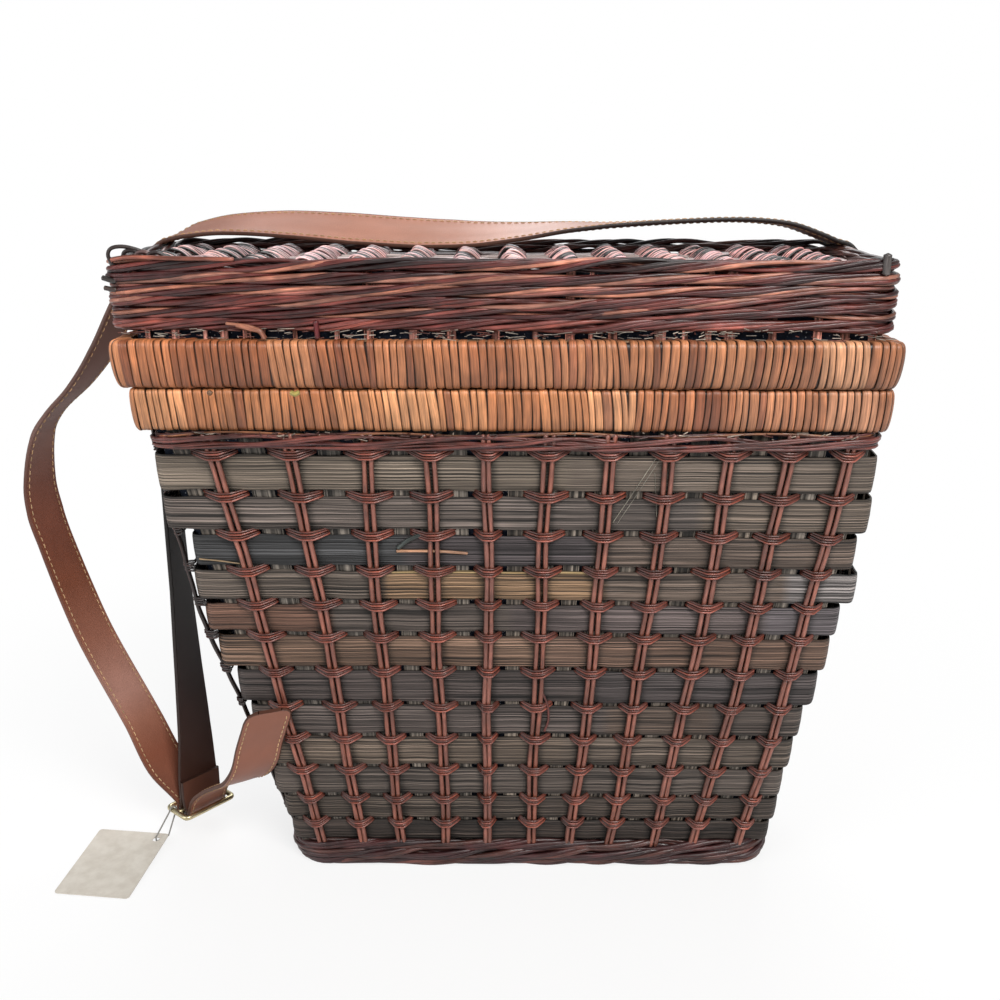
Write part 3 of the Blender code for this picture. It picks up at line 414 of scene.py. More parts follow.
class Outline:
    """A rectangle with rounded corners."""

    def __init__(self, half_width, half_depth, corner, centre=0.0):
        self.half_width, self.half_depth, self.corner, self.centre = half_width, half_depth, corner, centre
        front, side, bend = 2 * (half_width - corner), 2 * (half_depth - corner), math.pi / 2 * corner
        self.lengths = np.array([front, bend, side, bend] * 2)
        self.ends = np.concatenate([[0], np.cumsum(self.lengths)])
        self.length = self.ends[-1]

    def at(self, distance, out=0.0):
        """Points and outward normals at distances round the outline, moved out."""
        distance = np.asarray(distance, float) % self.length
        out = np.broadcast_to(np.asarray(out, float), distance.shape)
        leg = np.clip(np.searchsorted(self.ends, distance, side="right") - 1, 0, 7)
        share = (distance - self.ends[leg]) / self.lengths[leg]
        quarter, bend = leg // 2, leg % 2 == 1
        angle = -np.pi / 2 + np.pi / 2 * (quarter + np.where(bend, share, 0.0))
        normal = np.stack([np.cos(angle), np.sin(angle)], axis=-1)
        corner = np.maximum(self.corner + out, TIGHT_CORNER)
        inner = np.stack([self.half_width + out - corner, self.half_depth + out - corner], axis=-1)
        signs = np.array([(-1, -1), (1, -1), (1, 1), (-1, 1)])
        starts, stops = signs[quarter] * inner, signs[(quarter + 1) % 4] * inner
        centre = np.where(bend[..., None], stops, starts + (stops - starts) * share[..., None])
        place = centre + normal * corner[..., None]
        place[..., 0] += self.centre
        return place, normal


def wall_share(height):
    return np.clip(np.asarray(height, float) / WALL_HEIGHT, 0, 1)


def wall_half(height, which):
    """Half of the wall's width (0) or depth (1) at a height. Its ends bulge a little half-way up."""
    share = wall_share(height)
    if which:
        return WALL_BASE[1] + (WALL_TOP[1] - WALL_BASE[1]) * share
    return through_three(WALL_HALF_WIDTHS, share)


def through_three(values, share):
    """The parabola through values at the top, half-way and at the base."""
    top, middle, base = values
    return base + (4 * middle - top - 3 * base) * share + 2 * (top + base - 2 * middle) * share**2


def wall_centre(height):
    return through_three(WALL_CENTRES, wall_share(height))


def row_drop(x, height):
    """The rows of the weave hang a little, most of all at the right."""
    depth = np.interp(height, (0.012, 0.060, 0.215, 0.245, 0.262), (0.0, 1.0, 1.0, 0.7, 0.0))
    return depth * (0.0007 + 0.0016 * np.clip((x - 0.01) / 0.15, 0, 1))


def wall_outline(height, corner, in_x, in_y=0.0, shift=0.0):
    """The wall's outline at a height, moved in at its ends and at its faces, and shifted to the right."""
    half_width, half_depth = float(wall_half(height, 0)) - in_x, float(wall_half(height, 1)) - in_y
    return Outline(half_width, half_depth, corner, float(wall_centre(height)) + shift)


def rim_outline():
    return Outline(RIM_HALF_WIDTH, RIM_HALF_DEPTH, RIM_CORNER)


def body_rim_outline():
    """The basket's rim: smaller than the lid's, and nearer to its right end."""
    inset = BODY_RIM_INSET
    return Outline(RIM_HALF_WIDTH - inset + 0.0009, RIM_HALF_DEPTH - inset, RIM_CORNER, BODY_SHIFT - 0.0011)


def skirt_outline(height):
    """The lid's side wall: a little left of its rim, and wider towards the top."""
    flare = 0.0012 * (height - LID_RIM_TOP) / (LID_TOP - LID_RIM_TOP)
    return Outline(0.1958 + flare, 0.0626 + flare * 0.5, 0.010, -0.0020 - flare * 0.5)


def lifted(place, height):
    """Points in plan, given a height."""
    height = np.broadcast_to(np.asarray(height, float), place.shape[:-1])
    return np.concatenate([place, height[..., None]], axis=-1)


# Splint hoops of the body

# Each row, from the top: where a splint begins along X, and its colour
ROW_TINTS = (
    ((-1, (118, 106, 94)), (0.03, (110, 98, 88))),
    ((-1, (100, 90, 84)), (0.0, (93, 84, 79)), (0.10, (104, 92, 82))),
    ((-1, (64, 64, 65)), (-0.058, (78, 71, 72)), (0.045, (100, 86, 77))),
    ((-1, (94, 84, 76)), (-0.070, (130, 104, 80)), (0.050, (98, 85, 76)), (0.150, (114, 108, 106))),
    ((-1, (114, 84, 70)), (-0.100, (94, 84, 78)), (0.0, (88, 78, 76)), (0.140, (100, 93, 95))),
    ((-1, (112, 89, 74)), (0.02, (108, 85, 72))),
    ((-1, (80, 71, 68)), (0.04, (74, 67, 66))),
    ((-1, (84, 75, 71)), (0.055, (92, 78, 69)), (0.115, (86, 76, 70))),
    ((-1, (102, 89, 78)), (0.03, (94, 83, 74))),
    ((-1, (88, 79, 73)),),
    ((-1, (84, 74, 66)), (0.02, (78, 68, 61))),
    ((-1, (66, 57, 52)),),
)
# How bright each row is
ROW_LEVELS = (1.04, 1.10, 1.03, 1.20, 1.10, 1.13, 1.03, 1.16, 1.08, 1.15, 0.93, 0.93)
# A painted highlight: the pale upper edge of one splint
HIGHLIGHT_EDGE_ROW, HIGHLIGHT_EDGE_LEFT, HIGHLIGHT_EDGE_RIGHT, HIGHLIGHT_EDGE_TINT = 3, -0.062, 0.052, (165, 140, 98)


def build_hoops():
    """Each hoop stands nearly upright, so the hoops' ends step inwards down the wall."""
    strips = Strands()
    share = round_shares(HOOP_POINTS)
    # Each step: height share, distance out, and painted shade, which darkens the hoop towards its upper and lower
    # edges.
    profile = (
        (0.0, -0.0012, 0.20), (0.0, -0.0003, 0.30), (0.04, -0.0001, 0.58), (0.12, 0.0001, 0.95), (0.5, 0.0003, 1.0),
        (0.88, 0.0001, 0.95), (0.96, -0.0001, 0.66), (1.0, -0.0003, 0.40), (1.0, -0.0012, 0.20),
    )
    for row, (high, low) in enumerate(zip(TIE_HEIGHTS, TIE_HEIGHTS[1:])):
        gap = HOOP_GAP - 0.00007 * row
        bottom, top = low + gap, high - gap
        if row == len(TIE_HEIGHTS) - 2:
            bottom = low - 0.001
        lower = bottom + 0.0004 * wobble(share, (5, 9, 17, 31), row)
        upper = top + 0.0004 * wobble(share, (4, 11, 19, 37), row + 50)
        sway = 0.00045 * wobble(share, (6, 13, 23, 41), row + 90)
        middle = (bottom + top) / 2
        outline = Outline(HOOP_HALF_WIDTHS[row], float(wall_half(middle, 1)), HOOP_CORNER, HOOP_CENTRES[row])
        taper = 0.4 * np.array([(wall_half(top, side) - wall_half(bottom, side)) / (top - bottom) for side in (0, 1)])
        start = outline.lengths[:4].sum() + outline.lengths[0] * 0.4
        rows, shades = [], []
        for up, out, shade in profile:
            height = lower + (upper - lower) * up
            rise = height - middle
            place, normal = outline.at(start + share * outline.length, out + sway)
            place = place + normal * rise[:, None] * taper
            height = height - row_drop(place[:, 0], height)
            rows.append(lifted(place, height))
            shades.append(np.full(len(share), shade))
        points, shades = np.stack(rows), np.stack(shades)
        places = (share * outline.length + row * 3.7, points[..., 2] + row)
        strips.grid(points, places, row_tint(row, points) * shades[..., None], wrap_columns=True)
    strips.build(
        "splint_hoops", [SPLINT], "basket", [f"splint_hoop_{number:02d}" for number in range(1, 13)], "splint", 60
    )


def row_tint(row, points):
    """The colour of one hoop: it changes from splint to splint, and painted shade darkens it beside the wickers."""
    x, y, z = points[..., 0], points[..., 1], points[..., 2]
    z = z + row_drop(x, z)
    front = np.clip((-0.012 - y) / 0.016, 0, 1)
    parts = ROW_TINTS[row]
    tint = np.broadcast_to(shown(*parts[0][1]), points.shape).copy()
    for start, colour in parts[1:]:
        share = (np.clip((x - start) / 0.006, 0, 1) * front)[..., None]
        tint = tint * (1 - share) + shown(*colour) * share
    tone = 0.80 * ROW_LEVELS[row] * (1 + 0.15 * np.sin(x * 31 + row * 2.1) * np.sin(x * 13 + row))
    tint *= tone[..., None]
    # Painted highlight along the top edge of one splint.
    if row == HIGHLIGHT_EDGE_ROW:
        edge = np.clip((z - TIE_HEIGHTS[row] + 0.0034) / 0.0008, 0, 1) * (x > HIGHLIGHT_EDGE_LEFT) * (x < HIGHLIGHT_EDGE_RIGHT) * front
        tint = tint * (1 - edge[..., None]) + shown(*HIGHLIGHT_EDGE_TINT) * edge[..., None]
    nearest = np.full(x.shape, 1.0)
    across = (x - wall_centre(z)) / wall_half(z, 0)
    for shares in zip(COLUMN_TOPS, COLUMN_MIDDLES, COLUMN_BASES):
        nearest = np.minimum(nearest, abs(across - through_three(shares, wall_share(z))) * wall_half(z, 0))
    # Painted shade: the hoop is darkened close beside each column of wickers.
    dark = 1 - 0.62 * np.exp(-((nearest / 0.0050) ** 4)) * (abs(y) > wall_half(z, 1) - 0.006)
    return tint * dark[..., None]


# Upright stakes, wickers and ties

WICKER_TINT = np.array((0.245, 0.083, 0.056))
TIE_TINT = np.array((0.155, 0.043, 0.029))
WICKER_RADIUS, LOOSE_RADIUS, TIE_RADIUS = 0.00138, 0.00095, 0.00058
# Each of a tie's strands: its height over the pair, its height at the holes and its brightness, a painted highlight on
# the bright strands and painted shade on the dark ones
TIE_STRANDS = ((0.0010, 0.0020, 0.62), (-0.0004, 0.0011, 1.35), (-0.0019, -0.0003, 0.70), (-0.0033, -0.0012, 1.45))


def side_reach(sign, height):
    """How far out the weave stands at a side: flat over each hoop, and sloping from hoop to hoop."""
    heights, reaches = [LID_RIM[0]], [wall_centre(WALL_HEIGHT) + sign * wall_half(WALL_HEIGHT, 0)]
    for row, (high, low) in enumerate(zip(TIE_HEIGHTS, TIE_HEIGHTS[1:])):
        heights += [high - HOOP_GAP, low + HOOP_GAP]
        reaches += [HOOP_CENTRES[row] + sign * HOOP_HALF_WIDTHS[row]] * 2
    return np.interp(height, heights[::-1], reaches[::-1])


def face_point(face, shares, height, offset, out):
    """Points on a wall: face 0 is the front, 1 the right side, 2 the back and 3 the left side."""
    height = np.asarray(height, float)
    share = through_three(shares, wall_share(height))
    centre, half_x, half_y = wall_centre(height), wall_half(height, 0), wall_half(height, 1)
    if face in (0, 2):
        sign = -1 if face == 0 else 1
        x, y = centre + share * half_x + offset, sign * (half_y + out)
    else:
        sign = 1 if face == 1 else -1
        wall = centre + sign * half_x if shares == LOOSE_COLUMN else side_reach(sign, height)
        x, y = wall + sign * out, share * half_y + offset
    return np.stack([x, y, np.broadcast_to(height, x.shape)], axis=-1)


def face_normal(face):
    return np.array(((0, -1, 0), (1, 0, 0), (0, 1, 0), (-1, 0, 0))[face], float)


def face_columns(face):
    """Each column's shares across the face, its ties' reach, and half the distance between its wickers."""
    if face in (0, 2):
        return list(zip(zip(COLUMN_TOPS, COLUMN_MIDDLES, COLUMN_BASES), TIE_REACHES, WICKER_SPREADS))
    return [(shares, 0.0085, 0.0018) for shares in SIDE_COLUMNS[face]]


def build_stakes():
    """Flat upright stakes: one under each column of ties, and one between each two."""
    stakes = Strands()
    for face in range(4):
        columns = face_columns(face)
        half = WALL_TOP[0] if face in (0, 2) else WALL_TOP[1]
        edges = [(-1.0, -1.0, -1.0)] + [shares for shares, _, _ in columns] + [(1.0, 1.0, 1.0)]
        for one, other in zip(edges, edges[1:]):
            middle = tuple((a + b) / 2 for a, b in zip(one, other))
            if abs(middle[1]) < 0.9 or face in (0, 2):
                add_stake(stakes, face, middle, (other[0] - one[0]) * half * 0.15)
        for shares, reach, _ in columns:
            if abs(shares[1]) < 0.9 or face in (0, 2):
                add_stake(stakes, face, shares, reach * 0.55)
    stakes.build("stakes", [STAKE], "basket", ["body_stake_wall"], "stake", 40)


def add_stake(stakes, face, shares, half_width):
    height = np.linspace(0.012, 0.2945, 40)
    tint = varied(shown(*STAKE_TINT), 0.25)
    rows = []
    for side, out in ((-1, -0.0030), (-1, -0.0017), (-0.6, -0.0014), (0.6, -0.0014), (1, -0.0017), (1, -0.0030)):
        width = half_width * (0.72 + 0.28 * wall_share(height)) * side
        rows.append(face_point(face, shares, height, width, out))
    points = np.stack(rows)
    places = (np.linspace(0, 2 * half_width, len(rows))[:, None] + RANDOM.random() * 3, height)
    # Painted shade: the stakes darken from just under the twined band upwards, behind the band and the rim.
    fade = np.interp(height, (0.2560, 0.2660), (1.0, 0.35))
    stakes.grid(points, places, tint * fade[:, None])


def loose_bulge(height):
    """How far the left side's front column stands off the hoops."""
    return 0.0046 * np.exp(-(((height - 0.162) / 0.042) ** 2)) + 0.0016 * np.exp(-(((height - 0.222) / 0.022) ** 2))


def build_wickers():
    rods = {face: Strands() for face in range(4)}
    for face in range(4):
        for column, (shares, _, gap) in enumerate(face_columns(face)):
            loose = shares == LOOSE_COLUMN
            for side in (-1, 1):
                height = np.linspace(0.0125, 0.2705, 110)
                spread = gap * (0.74 + 0.26 * wall_share(height)) + 0.00022 * np.sin(height * 95 + column * 3 + side)
                sway = 0.0007 * np.sin(height * 40 + column * 1.7 + face)
                out = 0.0020 + 0.00022 * np.sin(height * 270 + column)
                if loose:
                    out, spread = out + loose_bulge(height), spread * 0.6
                points = face_point(face, shares, height, side * spread + sway, out)
                radius = LOOSE_RADIUS if loose else WICKER_RADIUS
                radius = radius * (1 + 0.05 * np.sin(height * 130 + column * 5 + side))
                tint = varied(WICKER_TINT, 0.14, 0.07) * (0.18 if loose else 1)
                streak = 1 + 0.18 * np.sin(height * 61 + column * 2.7 + side * 2) * np.sin(height * 23 + column)
                normals = np.broadcast_to(face_normal(face), points.shape)
                rods[face].tube(points, radius, tint[None] * streak[:, None], normals, sides=10, shade=0.88)
    for face, name in enumerate(("front", "right", "back", "left")):
        rods[face].build("wickers_" + name, [WICKER], "basket", ["uprights_" + name], "wicker", 0)


def build_ties():
    """Each tie is four thin strands: flat over a wicker pair, then straight down into the gap's dark holes."""
    ties = Strands()
    for face in range(4):
        for shares, reach, gap in face_columns(face):
            for row, height in enumerate(TIE_HEIGHTS[:-1]):
                add_tie(ties, face, shares, reach, gap, row, height)
    ties.build("ties", [WICKER], "basket", (), "wicker", 0)


def add_tie(ties, face, shares, reach, gap, row, height):
    """One tie: thin strands over a pair of wickers, which go down into the weave at both ends."""
    narrow = 0.70 + 0.30 * float(wall_share(height))
    reach = reach * (0.58 + 0.42 * float(wall_share(height))) * RANDOM.uniform(0.94, 1.06)
    lift, tilt = RANDOM.uniform(-0.0003, 0.0003), RANDOM.uniform(-0.0005, 0.0005)
    pair = (gap + 0.0012) * narrow
    loose = shares == LOOSE_COLUMN
    tone = 0.25 if loose else 1.0
    if loose:
        reach = reach * 0.42
    share = np.array([-1, -0.9, -0.75, -0.55, -0.36, -0.24, -0.12, 0, 0.12, 0.24, 0.36, 0.55, 0.75, 0.9, 1])
    arm = np.clip((abs(share) * reach - pair) / (reach - pair), 0, 1)
    out = np.interp(arm, (0, 0.10, 0.45, 0.8, 1), (0.0039, 0.0036, 0.0018, 0.0, -0.0018))
    out = out + 0.0002 * (1 - abs(share)) ** 2
    if loose:
        out = np.interp(abs(share), (0, 0.6, 1), (0.0034, 0.0030, 0.0)) + float(loose_bulge(height)) * (1 - share**2)
    stretch = 0.86 + 0.14 * narrow
    place_x = face_point(face, shares, height, 0.0, 0.0)[0]
    fall = float(row_drop(place_x, height))
    for middle, end, bright in TIE_STRANDS:
        if row == 0:
            end = end + 0.0006 + 0.0012 * (shares[0] > -0.3)
        rise = middle + (end - middle) * arm**1.1
        z = height + lift + rise * stretch + share * tilt + RANDOM.uniform(-0.0001, 0.0001) - fall
        jut = out + 0.0003 * (bright > 1)
        points = np.array([face_point(face, shares, z[i], share[i] * reach, jut[i]) for i in range(len(share))])
        colour = varied(TIE_TINT, 0.22, 0.12) * bright * tone
        # Painted light along the tie: painted shade on the left arm and a painted highlight over the middle; the
        # normals tilt up, so the painted shade falls underneath.
        light = np.interp(share, (-1, -0.4, 0, 0.4, 1), (0.55, 0.75, 1.35, 1.35, 0.95))
        normals = np.broadcast_to(face_normal(face) + np.array((0, 0, 0.5)), points.shape)
        ties.tube(points, TIE_RADIUS, colour[None] * light[:, None], normals, sides=7, shade=0.9)


# Twined ropes


def twisted_row(
    strands, ring, height, radius_out, radius_up, groups, thickness, lay, tints, seed,
    drift=0.0, fan=0.46, out=0.0, back_lift=0.0, shade=0.7,
):
    """Pairs of willow strands that pass round each other with a long lay, all the way round."""
    rng = np.random.default_rng(seed)
    turns = max(1, round(ring.length / lay))
    share = round_shares(int(ring.length / 0.0035))
    drift = drift * wobble(share, (1, 2, 3, 7), seed + 7)
    for group in range(groups):
        phase = 2 * np.pi * (turns * share + group / groups) + 0.6 * wobble(share, (3, 5, 8), seed + group)
        wander = radius_up * 0.30 * wobble(share, (2, 5, 9, 14), seed + 20 + group)
        for side in (-0.5, 0.5):
            turn = phase + side * fan
            reach = out + radius_out * np.cos(turn) + rng.uniform(-0.0002, 0.0002)
            up = radius_up * np.sin(turn) + thickness * 0.5 * side * np.cos(turn) + wander + drift
            place, normal = ring.at(share * ring.length, reach)
            points = lifted(place, height + up)
            colour = varied(picked(tints), 0.2, 0.08)
            streak = 1 + 0.25 * wobble(share, (7, 11, 23, 37), int(rng.integers(1e6)))
            colours = colour[None] * np.clip(streak, 0.35, 1.8)[:, None]
            size = thickness * (1 + 0.14 * wobble(share, (9, 15, 27), int(rng.integers(1e6))))
            points[:, 2] += back_lift * np.clip((points[:, 1] - 0.0595) / 0.0040, 0, 1)
            strands.tube(points, size, colours, lifted(normal, 0.35), sides=7, closed=True, shade=shade)


ROPE_TINTS = (
    (0.110, 0.022, 0.018), (0.070, 0.013, 0.012), (0.205, 0.050, 0.037), (0.028, 0.008, 0.008), (0.120, 0.026, 0.021),
    (0.085, 0.016, 0.015), (0.280, 0.092, 0.068), (0.150, 0.034, 0.027), (0.050, 0.011, 0.010), (0.360, 0.140, 0.092),
)
BAND_TINTS = (
    (0.085, 0.021, 0.018), (0.115, 0.032, 0.025), (0.055, 0.015, 0.016), (0.240, 0.095, 0.045), (0.130, 0.042, 0.036),
)
BORDER_TINTS = ((0.044, 0.012, 0.012), (0.033, 0.009, 0.010), (0.056, 0.015, 0.015), (0.080, 0.027, 0.021))
# Each row: height, radius out, radius up, groups, thickness, lay, seed, distance out and drift
BAND_ROWS = (
    (0.2672, 0.0013, 0.0019, 2, 0.00092, 0.120, 3, 0.0034, 0.0005),
    (0.2644, 0.0008, 0.0010, 2, 0.00075, 0.100, 9, 0.0036, 0.0006),
    (0.2702, 0.0006, 0.0008, 1, 0.00070, 0.090, 15, 0.0014, 0.0007),
)
# Each row: height, distance out, radius up and seed
BORDER_ROWS = (
    (0.0128, 0.0012, 0.0022, 5), (0.0080, 0.0030, 0.0024, 6), (0.0034, 0.0022, 0.0018, 8),
    (0.0048, -0.0022, 0.0018, 12),
)
# Each row: height, lay and thickness
WALING_ROWS = (
    (0.3272, 0.105, 0.00128), (0.3328, 0.120, 0.00118), (0.3384, 0.100, 0.00135), (0.3440, 0.125, 0.00122),
    (0.3497, 0.108, 0.00130),
)
# Each row: height, radius out, radius up, groups, thickness, lay, seed and distance out
TOP_ROWS = (
    (0.3562, 0.0022, 0.0024, 3, 0.00125, 0.110, 41, -0.0012), (0.3555, 0.0014, 0.0018, 2, 0.00095, 0.080, 43, -0.0052),
)


def build_ropes():
    band, border, walings, top = (Strands() for _ in range(4))
    ring = wall_outline(0.2690, WALL_CORNER, 0.0056, 0.0, 0.0008)
    for height, radius_out, radius_up, groups, size, lay, seed, out, drift in BAND_ROWS:
        twisted_row(
            band, ring, height, radius_out, radius_up, groups, size, lay, BAND_TINTS, seed, out=out, drift=drift
        )
    for height, out, radius_up, seed in BORDER_ROWS:
        ring = wall_outline(height, 0.018, 0.0020, 0.0, -0.0005)
        twisted_row(
            border, ring, height - 0.0003, 0.0020, radius_up, 3, 0.0015, 0.095, BORDER_TINTS, seed, out=out, fan=0.6
        )
    for row, (height, lay, size) in enumerate(WALING_ROWS):
        twisted_row(
            walings, skirt_outline(height), height, 0.0016, 0.0020, 3, size, lay, ROPE_TINTS, 20 + row,
            drift=0.0006, fan=0.62, shade=0.95,
        )
    for height, radius_out, radius_up, groups, size, lay, seed, out in TOP_ROWS:
        twisted_row(
            top, skirt_outline(0.3560), height, radius_out, radius_up, groups, size, lay, ROPE_TINTS, seed,
            out=out, drift=0.0003, back_lift=0.0024,
        )
    for strands, name, body, nodes in (
        (band, "band_strands", "basket", ["twined_band"]), (border, "border_strands", "basket", ["base_border"]),
        (walings, "waling_strands", "lid", [f"lid_waling_{number}" for number in range(1, 6)]),
        (top, "top_border_strands", "lid", ["lid_top_border"]),
    ):
        strands.build(name, [WILLOW], body, nodes, "rope", 0)


# Half width, half depth and corner
LID_STAKE_RING, LID_CLOTH_RING = (0.1906, 0.0601, 0.005), (0.1886, 0.0581, 0.004)
STAKE_TINT, LID_STAKE_TINT = (96, 88, 80), (190, 132, 118)


def build_lid_stakes():
    """Upright stakes of the lid, which show below the rows of willow."""
    stakes = Strands()
    ring = Outline(*LID_STAKE_RING)
    height = np.linspace(0.2980, 0.3540, 6)
    distance = 0.004
    while distance < ring.length - 0.008:
        half_width = RANDOM.uniform(0.0010, 0.0028)
        lanes = []
        for side, out in ((-1, -0.0013), (-1, -0.0002), (-0.6, 0.0), (0.6, 0.0), (1, -0.0002), (1, -0.0013)):
            place, _ = ring.at(np.full_like(height, distance + side * half_width), out)
            lanes.append(lifted(place, height))
        points = np.stack(lanes)
        places = (np.linspace(0, 2 * half_width, len(lanes))[:, None] + RANDOM.random() * 3, height)
        stakes.grid(points, places, varied(shown(*LID_STAKE_TINT), 0.5))
        distance += 2 * half_width + RANDOM.uniform(0.004, 0.020)
    stakes.build("lid_stakes", [STAKE], "lid", ["lid_stake_wall"], "stake", 40)


def build_lining(name, ring_at, levels, panel_level, body, replaces):
    """Cloth held flat against the stakes: its wall, then its end panel, as one surface."""
    cloth = Strands()
    share = round_shares(300)
    rows = []
    for level in levels:
        ring = ring_at(level)
        rows.append(lifted(ring.at(share * ring.length, 0.0001 * wobble(share, (17, 31, 53), 4))[0], level))
    edge = rows[-1].copy()
    middle = np.array([ring_at(levels[-1]).centre, 0.0, panel_level])
    for size in (0.985, 0.9, 0.75, 0.55, 0.35, 0.15, 0.02, 0.0004):
        ring_points = middle + (edge - middle) * size
        ring_points[:, 2] = panel_level
        rows.append(ring_points)
    points = np.stack(rows)
    places = (points[..., 0] + points[..., 2], points[..., 1] + points[..., 2])
    cloth.grid(points, places, (1, 1, 1), wrap_columns=True)
    piece = cloth.build(name, [FABRIC], body, replaces, "lining_fabric", 0)


def build_linings():
    build_lining(
        "body_lining_cloth", lambda level: wall_outline(level, 0.009, 0.0036, 0.0036), np.linspace(0.2930, 0.0110, 16),
        0.0078, "basket", ["body_lining"],
    )
    build_lining(
        "lid_lining_cloth", lambda level: Outline(*LID_CLOTH_RING), np.linspace(0.2975, 0.3505, 5),
        0.3522, "lid", ["lid_lining"],
    )


# Rims: flat cane wound round them

# The winding's section from the bottom up: shares of its thickness inwards, and of its height
RIM_SECTION = (
    (1, 0.02), (0.62, 0), (0.36, 0.05), (0.16, 0.22), (0.02, 0.55), (0, 0.84), (0.12, 0.965), (0.42, 1), (1, 0.985),
)
CANE_WIDTH = 0.0042
CANE_TINTS = ((0.345, 0.142, 0.068), (0.300, 0.118, 0.054), (0.385, 0.175, 0.090), (0.250, 0.092, 0.042))
# How strong the cane's red, green and blue are at the left, in the middle and at the right
RIM_TONES = {
    "lid_rim": ((1.15, 0.98, 0.82), (1.32, 1.26, 1.18), (1.28, 1.36, 1.40)),
    "body_rim": ((1.27, 1.22, 1.06), (1.64, 1.65, 1.45), (1.30, 1.31, 1.38)),
}


def rim_section(thickness, height, low):
    """The winding's rounded section, as distances out and heights."""
    last = len(RIM_SECTION) - 1
    made = between(np.linspace(0, last, 19), range(last + 1), RIM_SECTION)
    made[1:-1] = (made[:-2] + 2 * made[1:-1] + made[2:]) / 4
    return -made[:, 0] * thickness, low + made[:, 1] * height


def build_rim(name, outline, rim, body, replaces, seed):
    """Turns of flat cane side by side round a rim, over a dark sheet that stands in as painted shade between the
    turns.
    """
    low, height, thickness = rim
    out, up = rim_section(thickness, height, low)
    strips = Strands()
    rng = np.random.default_rng(seed)
    distance, count = 0.0, 0
    while distance < outline.length - 0.002:
        width = CANE_WIDTH * rng.uniform(0.70, 1.25)
        if count % 6 == 0:
            pick = rng.integers(4)
            lean = rng.uniform(-0.0006, 0.0006)
        x = outline.at(np.array(distance))[0][0]
        tone = between(x, (-0.15, 0.0, 0.15), RIM_TONES[name])
        colour = np.array(CANE_TINTS[pick]) * tone * rng.uniform(0.82, 1.18)
        if rng.random() < 0.08:
            colour = colour * np.array((0.62, 0.55, 0.58))
        slant = (-0.0008 if x < 0.06 else 0.0003) + lean + rng.uniform(-0.0003, 0.0003)
        lift = rng.uniform(-0.00018, 0.00036)
        tall = rng.uniform(-0.0003, 0.0006)
        rng.random()  # a spare draw, which keeps the draws after it in their order
        shades = rim_shades(rng.uniform(0.10, 0.60), rng.uniform(0.15, 0.75), 1.0 if x > 0.05 else 0.4)
        add_winding(strips, outline, out, up, distance + width / 2, width, slant, lift, colour, tall, shades)
        distance += width + rng.uniform(0.0, 0.00022)
        count += 1
    shadow_sheet = Strands()
    share = round_shares(240)
    rows = []
    for value, level in zip(out, up):
        place = outline.at(share * outline.length, value - 0.0010)[0]
        rows.append(lifted(place, min(max(level, low + 0.0010), low + height - 0.0010)))
    shadow_sheet.grid(np.stack(rows), (0, 0), (0.022, 0.009, 0.006), wrap_columns=True)
    shadow_sheet.build(name + "_shadow_line", [CANE], body, (), "cane", 0)
    strips.build(name + "_winding", [CANE], body, replaces, "cane", 60)


def rim_shades(left, right, lapped):
    """Shares of a cane's tint across it: painted shade at its edges, and more painted shade on the left where turns
    lap.
    """
    lap = np.array([0, 0.22, 0.26, 0.16, 0.04, -0.04, -0.08, -0.10, 0]) * lapped
    return np.array([left * 0.6, left, 0.86, 1.04, 1.0, 1.04, 1.02, right, right * 0.6]) - lap


def add_winding(strips, outline, out, up, centre, width, slant, lift, colour, tall, shades):
    """One turn of cane: a flat strip that leans a little along the rim, with painted shade at its edges and foot and a
    painted highlight at its top.
    """
    across = np.array([-0.5, -0.46, -0.39, -0.20, 0.0, 0.20, 0.39, 0.46, 0.5])
    crown = np.array([-0.0010, -0.00042, -0.00016, -0.00004, 0.0, -0.00004, -0.00016, -0.00042, -0.0010])
    middle_up, span = (up.min() + up.max()) / 2, up.max() - up.min()
    share_up = (up - middle_up) / span
    lean = share_up * slant * 2
    bow = 0.0003 * np.cos(share_up * np.pi)
    around = unit(np.gradient(np.stack([out, up], axis=1), axis=0))
    facing = np.stack([around[:, 1], -around[:, 0]], axis=1)
    rows = []
    for share, drop in zip(across, crown):
        distance = centre + lean + bow + share * width
        place, _ = outline.at(distance, out + facing[:, 0] * (drop + lift))
        rows.append(lifted(place, up + share_up * tall + facing[:, 1] * (drop + lift)))
    points = np.stack(rows, axis=1)
    along = np.concatenate([[0], np.cumsum(np.hypot(np.diff(out), np.diff(up)))])
    places = (across * width + centre * 3.1, along[:, None])
    # Painted light: the winding is darker at its foot and lighter on its top shoulder.
    ends = np.interp(share_up, (-0.5, -0.40, 0.0, 0.36, 0.46), (0.50, 0.85, 1.0, 1.15, 1.45))
    strips.grid(points, places, colour * shades[None, :, None] * ends[:, None, None])


# Lid top

LID_HALF_X, LID_HALF_Y, SPLINT_WIDTH, SPLINT_LEVEL = 0.1868, 0.0567, 0.0152, 0.3539
LID_SPLINTS, LID_COLUMNS, FIRST_COLUMN, COLUMN_PITCH = 6, 14, -0.1800, 0.0263
# Shares of a splint's width, and heights
SPLINT_SECTION = (
    (-0.5, -0.0014), (-0.5, -0.0002), (-0.44, 0.0), (0.0, 0.0003), (0.44, 0.0), (0.5, -0.0002), (0.5, -0.0014),
)
# The lid splints' own colour is lightened as a painted reflection of the sky at the grazing view; the lid ties' tint
# is the pink-white of their painted highlights.
LID_SPLINT_TINT_AND_REFLECTION, LID_WICKER_TINT = (178, 162, 160), (0.18, 0.068, 0.058)
LID_TIE_HIGHLIGHT_TINT = np.array((0.300, 0.175, 0.170))
LID_WICKER_RADIUS, LID_WICKER_LEVEL = 0.0012, 0.3553
LID_TIE_RADIUS, LID_TIE_LEVEL, LID_TIE_PITCH = 0.00066, 0.3534, 0.0022


